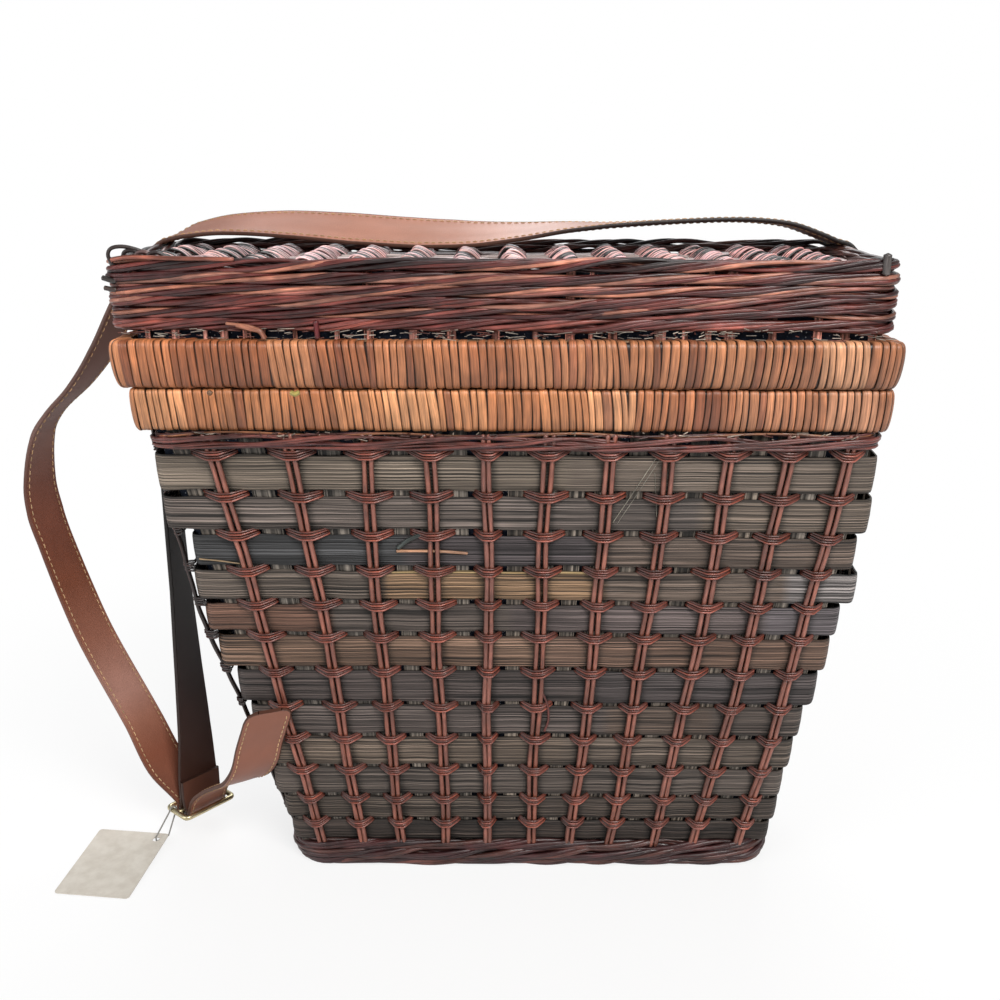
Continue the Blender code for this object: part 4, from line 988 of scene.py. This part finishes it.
def build_lid_top():
    """Splints side by side, with pairs of wickers tied across them."""
    strips = Strands()
    pitch = 2 * LID_HALF_Y / LID_SPLINTS
    for row in range(LID_SPLINTS):
        y = -LID_HALF_Y + pitch * (row + 0.5)
        x = np.linspace(-LID_HALF_X, LID_HALF_X, 160)
        rows = []
        share = (x + LID_HALF_X) / (2 * LID_HALF_X)
        for side, height in SPLINT_SECTION:
            edge = y + side * SPLINT_WIDTH + 0.0004 * wobble(share, (3, 7, 13), row)
            level = SPLINT_LEVEL + height + 0.0005 * wobble(share, (2, 5, 11), row + 30)
            rows.append(np.stack([x, edge, level], axis=-1))
        points = np.stack(rows)
        strips.grid(points, (x + row, points[..., 1] + row * 2), varied(shown(*LID_SPLINT_TINT_AND_REFLECTION), 0.2))
    strips.build("lid_splints", [LID_SPLINT], "lid", [f"lid_splint_{number}" for number in range(1, 7)], "splint", 40)
    rods, ties = Strands(), Strands()
    for column in range(LID_COLUMNS):
        middle = FIRST_COLUMN + COLUMN_PITCH * column
        for side in (-1, 1):
            y = np.linspace(-LID_HALF_Y - 0.001, LID_HALF_Y + 0.001, 40)
            x = middle + side * 0.0017 + 0.0005 * np.sin(y * 60 + column)
            z = np.full_like(y, LID_WICKER_LEVEL)
            rods.tube(np.stack([x, y, z], axis=-1), LID_WICKER_RADIUS, varied(LID_WICKER_TINT, 0.2), shade=0.6)
        for row in range(LID_SPLINTS + 1):
            y = np.clip(-LID_HALF_Y + pitch * row, -LID_HALF_Y + 0.0050, LID_HALF_Y - 0.0050)
            add_lid_tie(ties, middle + RANDOM.uniform(-0.001, 0.001), y, middle / LID_HALF_X)
    rods.build("lid_wickers", [WICKER], "lid", ["lid_top_wickers"], "wicker", 0)
    ties.build("lid_ties", [WICKER], "lid", (), "wicker", 0)


def add_lid_tie(ties, x, y, share_across):
    """Five to seven strands side by side that arch over a wicker pair of the lid."""
    strands = int(RANDOM.integers(5, 8))
    reach = RANDOM.uniform(0.0064, 0.0078)
    share = np.linspace(-1, 1, 17)
    peak = -0.35 if share_across < 0.1 else 0.35
    tall = 0.0056 if y < 0.028 else 0.0042
    first = RANDOM.integers(2)
    for strand in range(strands):
        slip = (strand - (strands - 1) / 2) * LID_TIE_PITCH
        arch = tall + RANDOM.uniform(-0.0006, 0.0006)
        side = np.where(share < peak, (share - peak) / (1 + peak), (share - peak) / (1 - peak))
        z = LID_TIE_LEVEL + arch * (1 - abs(side) ** 2.0)
        points = np.stack([x + share * reach, y + slip + share * LID_TIE_PITCH, z], axis=-1)
        # Painted light: every other strand is brightened as a painted highlight and the rest darkened as painted
        # shade; the tint turns redder towards the right.
        bright = np.interp(x, (-0.02, 0.10), (3.5, 3.3)) if (strand + first) % 2 else 0.06
        tint = varied(LID_TIE_HIGHLIGHT_TINT - max(0, x) * np.array((0.05, 0.2, 0.2)), 0.25, 0.08)
        ties.tube(points, LID_TIE_RADIUS, tint * bright, shade=0.8)


# Loose ends that show in the weave: each one's places, radius and tint
LID_CORNER_ENDS = (
    (
        ((-0.1935, -0.061, 0.3540), (-0.1965, -0.062, 0.3585), (-0.1968, -0.062, 0.3620), (-0.1945, -0.062, 0.3643),
         (-0.1895, -0.061, 0.3648), (-0.1830, -0.060, 0.3632), (-0.1730, -0.058, 0.3590)), 0.0010, (52, 40, 37),
    ),
    (((-0.1945, -0.060, 0.3530), (-0.1962, -0.061, 0.3590)), 0.0018, (62, 66, 64)),
    (((-0.1940, -0.0640, 0.3480), (-0.2002, -0.0640, 0.3500)), 0.0013, (48, 42, 40)),
)
# Each curl's place along X, its top and its tint
CURLS = ((-0.1850, 0.3628, (58, 46, 44)), (-0.1790, 0.3622, (104, 80, 78)), (-0.1730, 0.3618, (46, 36, 36)))
LID_ENDS = (
    (((-0.1940, -0.0640, 0.3440), (-0.1996, -0.0640, 0.3450)), 0.0012, (60, 48, 44)),
    (
        ((-0.1950, -0.0640, 0.3585), (-0.1850, -0.0650, 0.3600), (-0.1650, -0.0650, 0.3595),
         (-0.1350, -0.0640, 0.3590)), 0.0012, (138, 78, 62),
    ),
    (
        ((-0.1348, -0.0668, 0.3272), (-0.1290, -0.0670, 0.3256), (-0.1235, -0.0672, 0.3244),
         (-0.1212, -0.0668, 0.3206)), 0.0014, (165, 105, 82),
    ),
    (((-0.1400, -0.0668, 0.3280), (-0.1290, -0.0672, 0.3268), (-0.1225, -0.0668, 0.3246)), 0.0008, (175, 115, 90)),
    (((-0.0955, -0.0655, 0.3290), (-0.0950, -0.0658, 0.3206)), 0.0014, (92, 34, 36)),
    (((0.1862, -0.0648, 0.3530), (0.1862, -0.0648, 0.3622)), 0.0022, (84, 78, 76)),
)
WALL_ENDS = (
    (((-0.0590, -0.0571, 0.2048), (-0.0368, -0.0573, 0.2048), (-0.0210, -0.0572, 0.2036)), 0.0008, (172, 128, 100)),
    (((-0.0582, -0.0572, 0.2065), (-0.0527, -0.0577, 0.2112), (-0.0453, -0.0578, 0.2144)), 0.0013, (44, 50, 47)),
    (((-0.1657, -0.0568, 0.1998), (-0.1550, -0.0568, 0.1988), (-0.1439, -0.0566, 0.1971)), 0.0004, (150, 126, 96)),
    (((0.0566, -0.0583, 0.2216), (0.0660, -0.0596, 0.2375), (0.0781, -0.0612, 0.2586)), 0.0002, (140, 134, 120)),
    (((0.0590, -0.0583, 0.2210), (0.0700, -0.0598, 0.2400), (0.0795, -0.0612, 0.2570)), 0.00015, (130, 124, 112)),
    (((0.0775, -0.0605, 0.2498), (0.0798, -0.0586, 0.2250)), 0.00015, (125, 120, 108)),
    (
        ((0.0208, -0.0513, 0.1177), (0.0238, -0.0507, 0.1098), (0.0245, -0.0499, 0.0999), (0.0223, -0.0494, 0.0926)),
        0.0007, (88, 42, 36),
    ),
    (((-0.1085, -0.0722, 0.2943), (-0.1065, -0.0726, 0.2936), (-0.1045, -0.0722, 0.2945)), 0.0013, (178, 162, 88)),
    (((-0.1500, -0.0720, 0.2945), (-0.1485, -0.0722, 0.2935)), 0.0014, (120, 84, 56)),
)


def add_end(strands, places, radius, tint, shade=0.7):
    """One loose end, smooth through its places."""
    path = np.array(places, float)
    fine = np.linspace(0, len(path) - 1, 8 * (len(path) - 1) + 1)
    whole = np.clip(fine.astype(int), 0, len(path) - 2)
    part = (fine - whole)[:, None]
    before, after = path[np.maximum(whole - 1, 0)], path[np.minimum(whole + 2, len(path) - 1)]
    start, end = path[whole], path[whole + 1]
    bend = 2 * before - 5 * start + 4 * end - after + part * (3 * (start - end) + after - before)
    smooth = start + 0.5 * part * (end - before + part * bend)
    strands.tube(smooth, radius, tint, np.broadcast_to((0.0, -1.0, 0.3), smooth.shape), sides=8, shade=shade)


def add_fibres(strands, rng, count, xs, zs, ys, reaches, rise, pale_share, tints, most, radius):
    """Fine fibres at random, between the given ends of their places, lengths and rises, pale or dark."""
    for _ in range(count):
        x, z, slope = rng.uniform(*xs), rng.uniform(*zs), rng.uniform(-1, 1)
        tint = shown(*tints[0 if rng.random() < pale_share else 1]) * rng.uniform(0.4, most)
        end = (x + rng.uniform(*reaches) * slope, ys[1], z + rng.uniform(*rise))
        add_end(strands, ((x, ys[0], z), end), radius, tint)


def build_details():
    """Broken and lifted ends of the weave, curls at the lid's corner, and fibres in the slots at the rims."""
    lid_ends, body_ends = Strands(), Strands()
    for places, radius, tint in LID_CORNER_ENDS:
        add_end(lid_ends, places, radius, shown(*tint))
    for x, high, tint in CURLS:
        curl = (
            (x - 0.0055, -0.0600, 0.3560), (x - 0.0045, -0.0605, high - 0.001), (x, -0.0600, high),
            (x + 0.0050, -0.0590, high - 0.003),
        )
        add_end(lid_ends, curl, 0.0011, shown(*tint))
    for places, radius, tint in LID_ENDS:
        add_end(lid_ends, places, radius, shown(*tint))
    rng = np.random.default_rng(77)
    add_fibres(
        lid_ends, rng, 220, (-0.19, 0.19), (0.3200, 0.3252), (-0.0650, -0.0662), (0.003, 0.011), (-0.0010, 0.0012),
        0.6, ((158, 146, 134), (110, 60, 50)), 1.1, 0.00024,
    )
    lid_ends.build("lid_loose_ends", [WILLOW], "lid", (), "rope", 0)
    add_fibres(
        body_ends, rng, 120, (-0.18, 0.185), (0.2680, 0.2722), (-0.0640, -0.0650), (0.002, 0.008), (-0.0015, 0.0015),
        0.35, ((170, 155, 140), (95, 52, 44)), 1.0, 0.00030,
    )
    for places, radius, tint in WALL_ENDS:
        add_end(body_ends, places, radius, shown(*tint), 0.5)
    body_ends.build("body_loose_ends", [WILLOW], "basket", (), "rope", 0)


# Leather strap

# The strap's tints at places along the lid (X), and at heights of the fall and of the short strap (Z). Along the lid
# they fade to painted shade at the right end, the fall's tints carry painted highlights and sheen, and the short strap
# darkens towards the top
LID_TINTS_AND_SHADE = (
    (-0.21, (0.36, 0.15, 0.10)), (-0.17, (0.36, 0.150, 0.098)), (-0.05, (0.46, 0.200, 0.128)),
    (0.10, (0.44, 0.190, 0.125)), (0.17, (0.28, 0.115, 0.080)), (0.20, (0.12, 0.050, 0.036)),
)
FALL_TINTS_AND_HIGHLIGHTS = (
    (0.030, (0.40, 0.130, 0.070)), (0.055, (0.50, 0.155, 0.080)), (0.075, (0.66, 0.260, 0.160)),
    (0.097, (0.86, 0.440, 0.340)), (0.130, (0.62, 0.235, 0.145)), (0.165, (0.36, 0.098, 0.040)),
    (0.195, (0.33, 0.088, 0.040)), (0.225, (0.30, 0.098, 0.058)), (0.262, (0.42, 0.210, 0.165)),
    (0.285, (0.38, 0.180, 0.140)), (0.306, (0.30, 0.140, 0.105)), (0.350, (0.34, 0.150, 0.105)),
)
SHORT_TINTS = ((0.03, (0.11, 0.042, 0.026)), (0.10, (0.06, 0.024, 0.019)), (0.16, (0.030, 0.020, 0.018)))
TAIL_TINT, THREAD_TINT, THREAD_RADIUS = (0.245, 0.082, 0.044), (0.52, 0.34, 0.19), 0.00034
# How bright the strap's face, its back and its painted edge are
SIDE_TONES = (1.0, 0.5, 0.32)
# Shares of the way across the lid and of the hump's height, and the tilt in degrees
OVER_LID = (
    (0.975, 0.13, -3), (0.935, 0.29, -3), (0.895, 0.49, -3), (0.81, 0.84, -3), (0.725, 0.97, -3), (0.64, 1.0, -3),
    (0.533, 0.96, -3), (0.41, 0.88, -3), (0.29, 0.80, -1), (0.165, 0.72, 7), (0.045, 0.58, 16), (-0.08, 0.49, 25),
    (-0.15, 0.49, 29), (-0.26, 0.52, 32.5), (-0.445, 0.66, 34), (-0.632, 0.80, 28.5), (-0.80, 0.78, 19),
    (-0.90, 0.59, 12), (-0.95, 0.38, 4), (-0.980, 0.21, 0),
)
# Shares of the bow, of the depth and of the height, and the turn in degrees
FALL = (
    (0.10, 0.98, 0.970, 6), (0.30, 0.90, 0.905, 18), (0.50, 0.73, 0.815, 20), (0.68, 0.55, 0.757, 12),
    (0.88, 0.42, 0.712, 5), (0.965, 0.30, 0.676, 6), (1.00, 0.17, 0.595, 15), (0.96, 0.09, 0.542, 20),
    (0.90, 0.04, 0.499, 18), (0.76, 0.00, 0.398, 21), (0.615, -0.03, 0.308, 23), (0.30, -0.05, 0.150, 27),
    (0.13, -0.03, 0.052, 37),
)
# Places as shares of the tail's reach, the way across, and the share of the strap's width
TAIL = (
    ((0.05, 0.00, 0.10), (0.653, 0.758, 0.0), 1), ((0.155, 0.00, 0.185), (0.68, 0.72, -0.05), 1),
    ((0.30, -0.01, 0.275), (0.78, 0.58, 0.0), 1), ((0.445, -0.03, 0.364), (0.90, 0.38, 0.06), 1),
    ((0.54, -0.035, 0.48), (0.95, 0.22, 0.11), 1), ((0.60, -0.04, 0.62), (0.96, 0.14, 0.14), 1),
    ((0.66, -0.045, 0.74), (0.96, 0.10, 0.15), 1), ((0.688, -0.045, 0.800), (0.96, 0.08, 0.15), 1),
    ((0.700, -0.045, 0.826), (0.96, 0.08, 0.15), 0.96), ((0.709, -0.045, 0.845), (0.96, 0.08, 0.15), 0.88),
    ((0.716, -0.045, 0.858), (0.96, 0.08, 0.15), 0.72), ((0.720, -0.045, 0.864), (0.96, 0.08, 0.15), 0.50),
)
# The strap's middle on the lid and at its right anchor (Y), then its hump's height, bow and tail's length
STRAP_BACK, STRAP_ANCHOR, STRAP_HUMP, STRAP_BOW, TAIL_REACH = 0.045, 0.029, 0.0165, 0.0715, 0.110
SMALL_GAP = 0.0003
BUCKLE_AT, BUCKLE_TURN = Vector((-0.1927, -0.0028, 0.0165)), math.radians(49.3)
BUCKLE_LENGTH, BUCKLE_WIDTH, BUCKLE_WIRE = 0.0344, 0.020, 0.0016
BUCKLE_ALONG = Vector((math.cos(BUCKLE_TURN), math.sin(BUCKLE_TURN), 0))
BUCKLE_BACK = Vector((-math.sin(BUCKLE_TURN), math.cos(BUCKLE_TURN), 0))
UP, ALONG_Y = Vector((0, 0, 1)), Vector((0, 1, 0))
SHORT_LOOP = BUCKLE_WIRE + SMALL_GAP + STRAP_THICKNESS / 2
LONG_LOOP = SHORT_LOOP + STRAP_THICKNESS + SMALL_GAP


def smooth_stations(stations, steps):
    """Stations on a smooth curve through the given middles, ways across and widths."""
    middles = [Vector(item[0]) for item in stations]
    acrosses = [Vector(item[1]).normalized() for item in stations]
    widths = [item[2] for item in stations]
    last = len(stations) - 1
    ways = [(middles[min(i + 1, last)] - middles[max(i - 1, 0)]).normalized() for i in range(last + 1)]
    made = []
    for index in range(last):
        span = (middles[index + 1] - middles[index]).length
        for step in range(steps):
            t = step / steps
            rest = 1 - t
            middle = middles[index] * (1 + 2 * t) * rest**2 + ways[index] * (span * t * rest**2)
            middle += middles[index + 1] * t**2 * (3 - 2 * t) - ways[index + 1] * (span * t**2 * rest)
            across = acrosses[index].lerp(acrosses[index + 1], t).normalized()
            made.append((middle, across, widths[index] + (widths[index + 1] - widths[index]) * t))
    made.append((middles[-1], acrosses[-1], widths[-1]))
    return made


def mix(low, high, share):
    return low + (high - low) * share


def over_station(x_share, lift, tilt):
    angle = math.radians(tilt)
    height = LID_TOP - STRAP_THICKNESS * 1.25 + lift * STRAP_HUMP
    middle = (x_share * (RIM_HALF_WIDTH + STRAP_THICKNESS), STRAP_BACK, height)
    return middle, (0, math.cos(angle), math.sin(angle)), STRAP_WIDTH


def fall_station(bow, depth, height, turn):
    start = over_station(*OVER_LID[-1])[0]
    low = BUCKLE_AT.z + BUCKLE_WIDTH / 2
    outer = -(RIM_HALF_WIDTH + SMALL_GAP + STRAP_THICKNESS / 2)
    angle = math.radians(turn)
    middle = (mix(outer, outer - STRAP_BOW, bow), mix(BUCKLE_AT.y, start[1], depth), mix(low, start[2], height))
    return middle, (math.sin(angle), math.cos(angle), 0), STRAP_WIDTH


def buckle_station(back, up):
    return BUCKLE_AT + BUCKLE_BACK * back + UP * up, BUCKLE_ALONG, STRAP_WIDTH


def arc_stations(radius, start, end, count):
    angles = [math.radians(mix(start, end, step / (count - 1))) for step in range(count)]
    return [buckle_station(radius * math.cos(angle), radius * math.sin(angle)) for angle in angles]


def tail_station(place, across, width):
    out, along, up = (share * TAIL_REACH for share in place)
    start = BUCKLE_AT - BUCKLE_BACK * (LONG_LOOP + out)
    return start + BUCKLE_ALONG * along + UP * up, across, width * STRAP_WIDTH


def right_end_stations():
    low, rim_height, _ = BODY_RIM
    on_rim = BODY_SHIFT + RIM_HALF_WIDTH - BODY_RIM_INSET + SMALL_GAP + STRAP_THICKNESS / 2
    past = RIM_HALF_WIDTH + 2 * SMALL_GAP + STRAP_THICKNESS / 2
    top = over_station(*OVER_LID[0])[0][2]
    y = STRAP_ANCHOR
    places = [
        (on_rim, y, low),
        (on_rim, y, low + rim_height / 2),
        (on_rim, y, low + rim_height * 0.72),
        (past, mix(y, STRAP_BACK, 0.2), LID_RIM[0]),
        (past + STRAP_THICKNESS, mix(y, STRAP_BACK, 0.5), LID_RIM_TOP),
        (past + STRAP_THICKNESS, mix(y, STRAP_BACK, 0.9), mix(LID_RIM_TOP, top, 0.75)),
    ]
    return [(place, ALONG_Y, STRAP_WIDTH) for place in places]


def short_strap_stations():
    x = BODY_SHIFT - (RIM_HALF_WIDTH - BODY_RIM_INSET + 0.0021 + SMALL_GAP + STRAP_THICKNESS / 2)
    low_rim, top = BODY_RIM[0], BODY_RIM[0] + BODY_RIM[1] + 0.0009
    stations = [(Vector((x, 0, mix(low_rim, top, share))), ALONG_Y, STRAP_WIDTH) for share in (1, 0.5, 0)]
    low = BUCKLE_AT.z + BUCKLE_WIDTH
    for share, turn in ((0.78, 2), (0.54, 6), (0.30, 17), (0.13, 27)):
        angle = math.radians(turn)
        middle = Vector((x, 0, mix(low, low_rim, share)))
        middle = middle.lerp(BUCKLE_AT + UP * (middle.z - BUCKLE_AT.z), 1 - share)
        stations.append((middle, (math.sin(angle), math.cos(angle), 0), STRAP_WIDTH))
    neck = (STRAP_THICKNESS + SMALL_GAP) / 2
    stations += [buckle_station(neck, low - BUCKLE_AT.z), buckle_station(neck, BUCKLE_WIRE * 5)]
    stations += arc_stations(SHORT_LOOP, 35, -215, 11)
    return stations + [buckle_station(-neck, BUCKLE_WIRE * 5), buckle_station(-neck, low - BUCKLE_AT.z)]


def strap_arrays(stations):
    """Middles, ways across, outward faces and widths of a strap's stations."""
    middle = np.array([tuple(item[0]) for item in stations])
    across = np.array([tuple(Vector(item[1]).normalized()) for item in stations])
    width = np.array([item[2] for item in stations])
    facing = unit(np.cross(across, unit(np.gradient(middle, axis=0))))
    return middle, across, facing, width


def cut_after(stations, index):
    """Two lists of stations, parted by a hairline half-way to the next station."""
    (start, across, width), (end, _, _) = stations[index : index + 2]
    middle, step = (start + end) / 2, (end - start).normalized() * (SMALL_GAP / 2)
    first = stations[: index + 1] + [(middle - step, across, width)]
    return first, [(middle + step, across, width)] + stations[index + 1 :]


def leather_tints(name, middle):
    """The tint of a strap's face at each of its stations, painted highlights and shade included."""
    stops = SHORT_TINTS if "short" in name else FALL_TINTS_AND_HIGHLIGHTS if "fall" in name else LID_TINTS_AND_SHADE
    places, tints = zip(*stops)
    along = middle[:, 0 if stops is LID_TINTS_AND_SHADE else 2]
    made = between(along, places, tints)
    if stops is FALL_TINTS_AND_HIGHLIGHTS:
        made[int(np.argmin(middle[:, 2])) :] = TAIL_TINT
    return made


def strap_piece(name, stations, body, replaces, materials, stitched=True):
    """A leather band with a crowned face, a plain back and rounded painted edges."""
    middle, across, facing, width = strap_arrays(stations)
    tints = leather_tints(name, middle)
    steps = np.concatenate([[0], np.cumsum(np.linalg.norm(np.diff(middle, axis=0), axis=1))])
    half, edge = STRAP_THICKNESS / 2, 0.0007
    flat_half = np.maximum(width / 2 - edge, 0.0005)[:, None]
    band = Strands()

    def sheet(offsets, outs, slot):
        outs = np.broadcast_to(outs, offsets.shape)[..., None]
        points = middle[:, None] + across[:, None] * offsets[..., None] + facing[:, None] * outs
        level = np.full(points.shape[:2], SIDE_TONES[slot])
        # Painted shade on the edges of the strap over the lid, deepest towards its right end.
        if name.startswith("strap_over") and slot == 2:
            level *= 0.7 - 0.58 * np.clip((middle[:, :1] + 0.01) / 0.05, 0, 1)
        band.grid(points, (offsets, steps[:, None]), tints[:, None] * level[..., None], slot=slot)

    lane = np.array([-1, -0.8, -0.6, -0.3, 0, 0.3, 0.6, 0.8, 1])
    inner = flat_half * lane
    crown = half + np.array([-0.00012, 0.0, -0.00012, 0, 0.00005, 0, -0.00012, 0.0, -0.00012])
    sheet(inner, crown, 0)
    sheet(-inner, -half, 1)
    turn = np.linspace(0, math.pi, 7)
    for side in (1, -1):
        offsets = side * (flat_half + edge * np.sin(turn))
        outs = half * np.cos(turn)
        if side < 0:
            offsets, outs = offsets[:, ::-1], outs[::-1]
        sheet(offsets, outs, 2)
    for end in (0, -1):
        outs = np.array([[[half]], [[-half]]]) * (1 if end else -1)
        points = middle[end] + across[end] * inner[end][:, None] + facing[end] * outs
        band.grid(points, (0, 0), tints[end] * SIDE_TONES[2], slot=2)
    band.build(name, list(materials), body, replaces, "leather", 35)
    if stitched:
        for side, end in ((1, "_stitches"), (-1, "_stitches_back")):
            build_stitches(name + end, middle, across, facing * side, width, steps, body)


def build_stitches(name, middle, across, facing, width, steps, body):
    """Two lines of stitches along one side of a strap, one near each edge."""
    thread = Strands()
    pitch, length, inset = 0.0040, 0.0030, 0.0027
    for side in (-1, 1):
        start = 0.0022
        while start + pitch < steps[-1] - 0.001:
            along = start + np.linspace(0, length, 5)
            arch = np.array([-0.0004, 0.00008, 0.00014, 0.00008, -0.0004]) + STRAP_THICKNESS / 2
            place, way, normal = (between(along, steps, item) for item in (middle, across, facing))
            wide = np.maximum(np.interp(along, steps, width) / 2 - inset, 0.0004)
            path = place + way * (side * wide)[:, None] + normal * arch[:, None]
            thread.tube(path, THREAD_RADIUS, varied(THREAD_TINT, 0.12), normal, sides=5)
            start += pitch
    thread.build(name, [THREAD], body, (), "leather", 0)


def build_straps():
    over = [over_station(*shares) for shares in OVER_LID]
    right = right_end_stations()
    route = right + over + [fall_station(*shares) for shares in FALL]
    route += arc_stations(LONG_LOOP, 30, -180, 8) + [tail_station(*shares) for shares in TAIL]
    fine = 6
    smooth = smooth_stations(route, fine)
    first, rest = cut_after(smooth, fine * (len(right) - 1) + 1)
    over_lid, last = cut_after(rest, fine * len(over) + 2)
    finish = (LEATHER, LEATHER_BACK, LEATHER_EDGE)
    strap_piece("strap_right_end_leather", first, "basket", ["strap_right_end"], finish)
    strap_piece("strap_over_lid_leather", over_lid, "lid", ["strap_over_lid"], finish)
    strap_piece("strap_fall_leather", last, "basket", ["strap_fall_and_tail"], finish)
    dark = (LEATHER_DARK, LEATHER_DARK, LEATHER_EDGE)
    short = smooth_stations(short_strap_stations(), 4)
    strap_piece("strap_short_leather", short, "basket", ["strap_short"], dark, False)


# Metal, tag and hinges


def build_buckle():
    outline = Outline(BUCKLE_LENGTH / 2, BUCKLE_WIDTH / 2, BUCKLE_WIRE * 1.5)
    distance = np.linspace(0, outline.length, 96, endpoint=False)
    flat, _ = outline.at(distance)
    frame_path = np.array([BUCKLE_AT + BUCKLE_ALONG * x + BUCKLE_BACK * y for x, y in flat])
    wire = Strands()
    up = np.broadcast_to([0.0, 0.0, 1.0], frame_path.shape)
    wire.tube(frame_path, BUCKLE_WIRE, (1, 1, 1), up, sides=14, closed=True)
    ends = [BUCKLE_AT + BUCKLE_ALONG * side * BUCKLE_LENGTH / 2 for side in (-1, 1)]
    bar = np.array([ends[0].lerp(ends[1], share) for share in np.linspace(0, 1, 12)])
    wire.tube(bar, BUCKLE_WIRE * 0.97, (1, 1, 1), sides=14)
    wire.build("buckle_wire", [BRASS], "basket", ["buckle"], "brass", 0)


# Distances out, and radii
RIVET_SECTION = (
    (-0.0003, 0.0030), (0.0, 0.0045), (0.0005, 0.0046), (0.0010, 0.0040), (0.0013, 0.0028), (0.0014, 0.0012),
    (0.0014, 0.0),
)


def build_rivets():
    """Domed rivet heads."""
    for name, facing, y in (("left", -1, 0.0), ("right", 1, STRAP_ANCHOR)):
        start = RIM_HALF_WIDTH - BODY_RIM_INSET + 2 * SMALL_GAP + STRAP_THICKNESS + facing * BODY_SHIFT
        angle = np.linspace(0, 2 * np.pi, 40, endpoint=False)
        rows = []
        for rise, radius in RIVET_SECTION:
            x = np.full_like(angle, facing * (start + rise))
            z = BODY_RIM[0] + BODY_RIM[1] / 2 + radius * np.sin(angle)
            rows.append(np.stack([x, y + radius * np.cos(angle) * facing, z], axis=-1))
        head = Strands()
        head.grid(np.stack(rows), (0, 0), (1, 1, 1), wrap_columns=True)
        head.build(f"rivet_{name}_head", [BRASS], "basket", [f"rivet_{name}"], "brass", 60)


def dress_plain_nodes():
    """Gives the solid model's own pieces that stay a material with grain."""
    for material, names in (
        (TIMBER, ("base_panel", "body_rim_core", "body_rim_inner_hoop", "lid_rim_core", "lid_rim_inner_hoop")),
        (HINGE_LEATHER, ("hinge_lower_left", "hinge_lower_right", "hinge_upper_left", "hinge_upper_right")),
        (CARD, ("hang_tag",)), (LOOP_CORD, ("tag_loop",)),
    ):
        for name in names:
            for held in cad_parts[name].material_slots:
                held.material = material


# Camera, floor and light


FLOOR_REACH, LIGHT_AIM = 6.0, (0, 0, 0.18)


def build_stage():
    """A white studio: its floor fades into the white behind it, for the camera alone."""
    world = bpy.data.worlds.new("studio")
    bpy.context.scene.world = world
    world.use_nodes = True
    tree = world.node_tree
    tree.nodes.clear()
    rays = node(tree, "LightPath")
    soft = node(tree, "Background", {"Color": (0.98, 0.99, 1.0, 1), "Strength": 0.30})
    white = node(tree, "Background", {"Color": (1, 1, 1, 1), "Strength": 1.0})
    joined = node(tree, "MixShader", {0: rays.outputs["Is Camera Ray"], 1: soft.outputs[0], 2: white.outputs[0]})
    tree.links.new(joined.outputs[0], node(tree, "OutputWorld").inputs["Surface"])

    mesh = bpy.data.meshes.new("floor")
    corners = ((-1, -1), (1, -1), (1, 1), (-1, 1))
    mesh.from_pydata([(FLOOR_REACH * x, FLOOR_REACH * y, 0) for x, y in corners], [], [(0, 1, 2, 3)])
    floor = linked("floor", mesh)
    material, tree, shader = new_material("floor_paper", 0.9, specular=0.1)
    shader.inputs["Base Color"].default_value = (0.93, 0.93, 0.93, 1)
    place = node(tree, "NewGeometry").outputs["Position"]
    away = node(tree, "VectorMath", {0: place}, operation="LENGTH").outputs["Value"]
    fade = ramp(tree, away, ((0.24, 0.78), (0.60, 1.0)))
    rays = node(tree, "LightPath").outputs["Is Camera Ray"]
    part = node(tree, "Math", {0: fade, 1: rays}, operation="MULTIPLY").outputs[0]
    glow = node(tree, "Emission", {"Color": (1, 1, 1, 1), "Strength": 1.0}).outputs[0]
    joined = node(tree, "MixShader", {0: part, 1: shader.outputs[0], 2: glow})
    tree.links.new(joined.outputs[0], tree.nodes["Material Output"].inputs["Surface"])
    mesh.materials.append(material)

    for name, place, size, power, colour in (
        ("key", (0.7, -1.4, 1.7), 0.9, 35.0, (1.0, 0.985, 0.96)),
        ("fill", (-1.5, -1.0, 1.0), 1.4, 13.0, (0.98, 0.99, 1.0)),
        ("rear", (0.2, 1.4, 1.6), 1.4, 19.0, (0.97, 0.985, 1.0)),
    ):
        lamp = bpy.data.lights.new(name, "AREA")
        lamp.shape, lamp.size, lamp.energy, lamp.color = "SQUARE", size, power, colour
        aim = Vector(LIGHT_AIM) - Vector(place)
        linked(name, lamp, place).rotation_euler = aim.to_track_quat("-Z", "Y").to_euler()


CAMERA_AT, CAMERA_TILT, CAMERA_ROLL = (-0.0035, -0.6186, 0.4051), 0.2963, 0.003


def build_camera():
    camera = bpy.data.cameras.new("camera")
    camera.sensor_width = 36.0
    camera.lens = 39.84
    obj = linked("camera", camera, CAMERA_AT)
    turn = Euler((math.pi / 2 - CAMERA_TILT, 0, 0)).to_matrix() @ Euler((0, 0, CAMERA_ROLL)).to_matrix()
    obj.rotation_euler = turn.to_euler()
    bpy.context.scene.camera = obj
    bpy.context.scene.view_settings.view_transform = "Standard"


build_hoops()
build_stakes()
build_wickers()
build_ties()
build_ropes()
build_rim("lid_rim", rim_outline(), LID_RIM, "lid", ["lid_rim_wrap"], 5)
build_rim("body_rim", body_rim_outline(), BODY_RIM, "basket", ["body_rim_wrap"], 6)
build_lid_stakes()
build_linings()
build_lid_top()
build_details()
build_straps()
build_buckle()
build_rivets()
dress_plain_nodes()
build_stage()
build_camera()
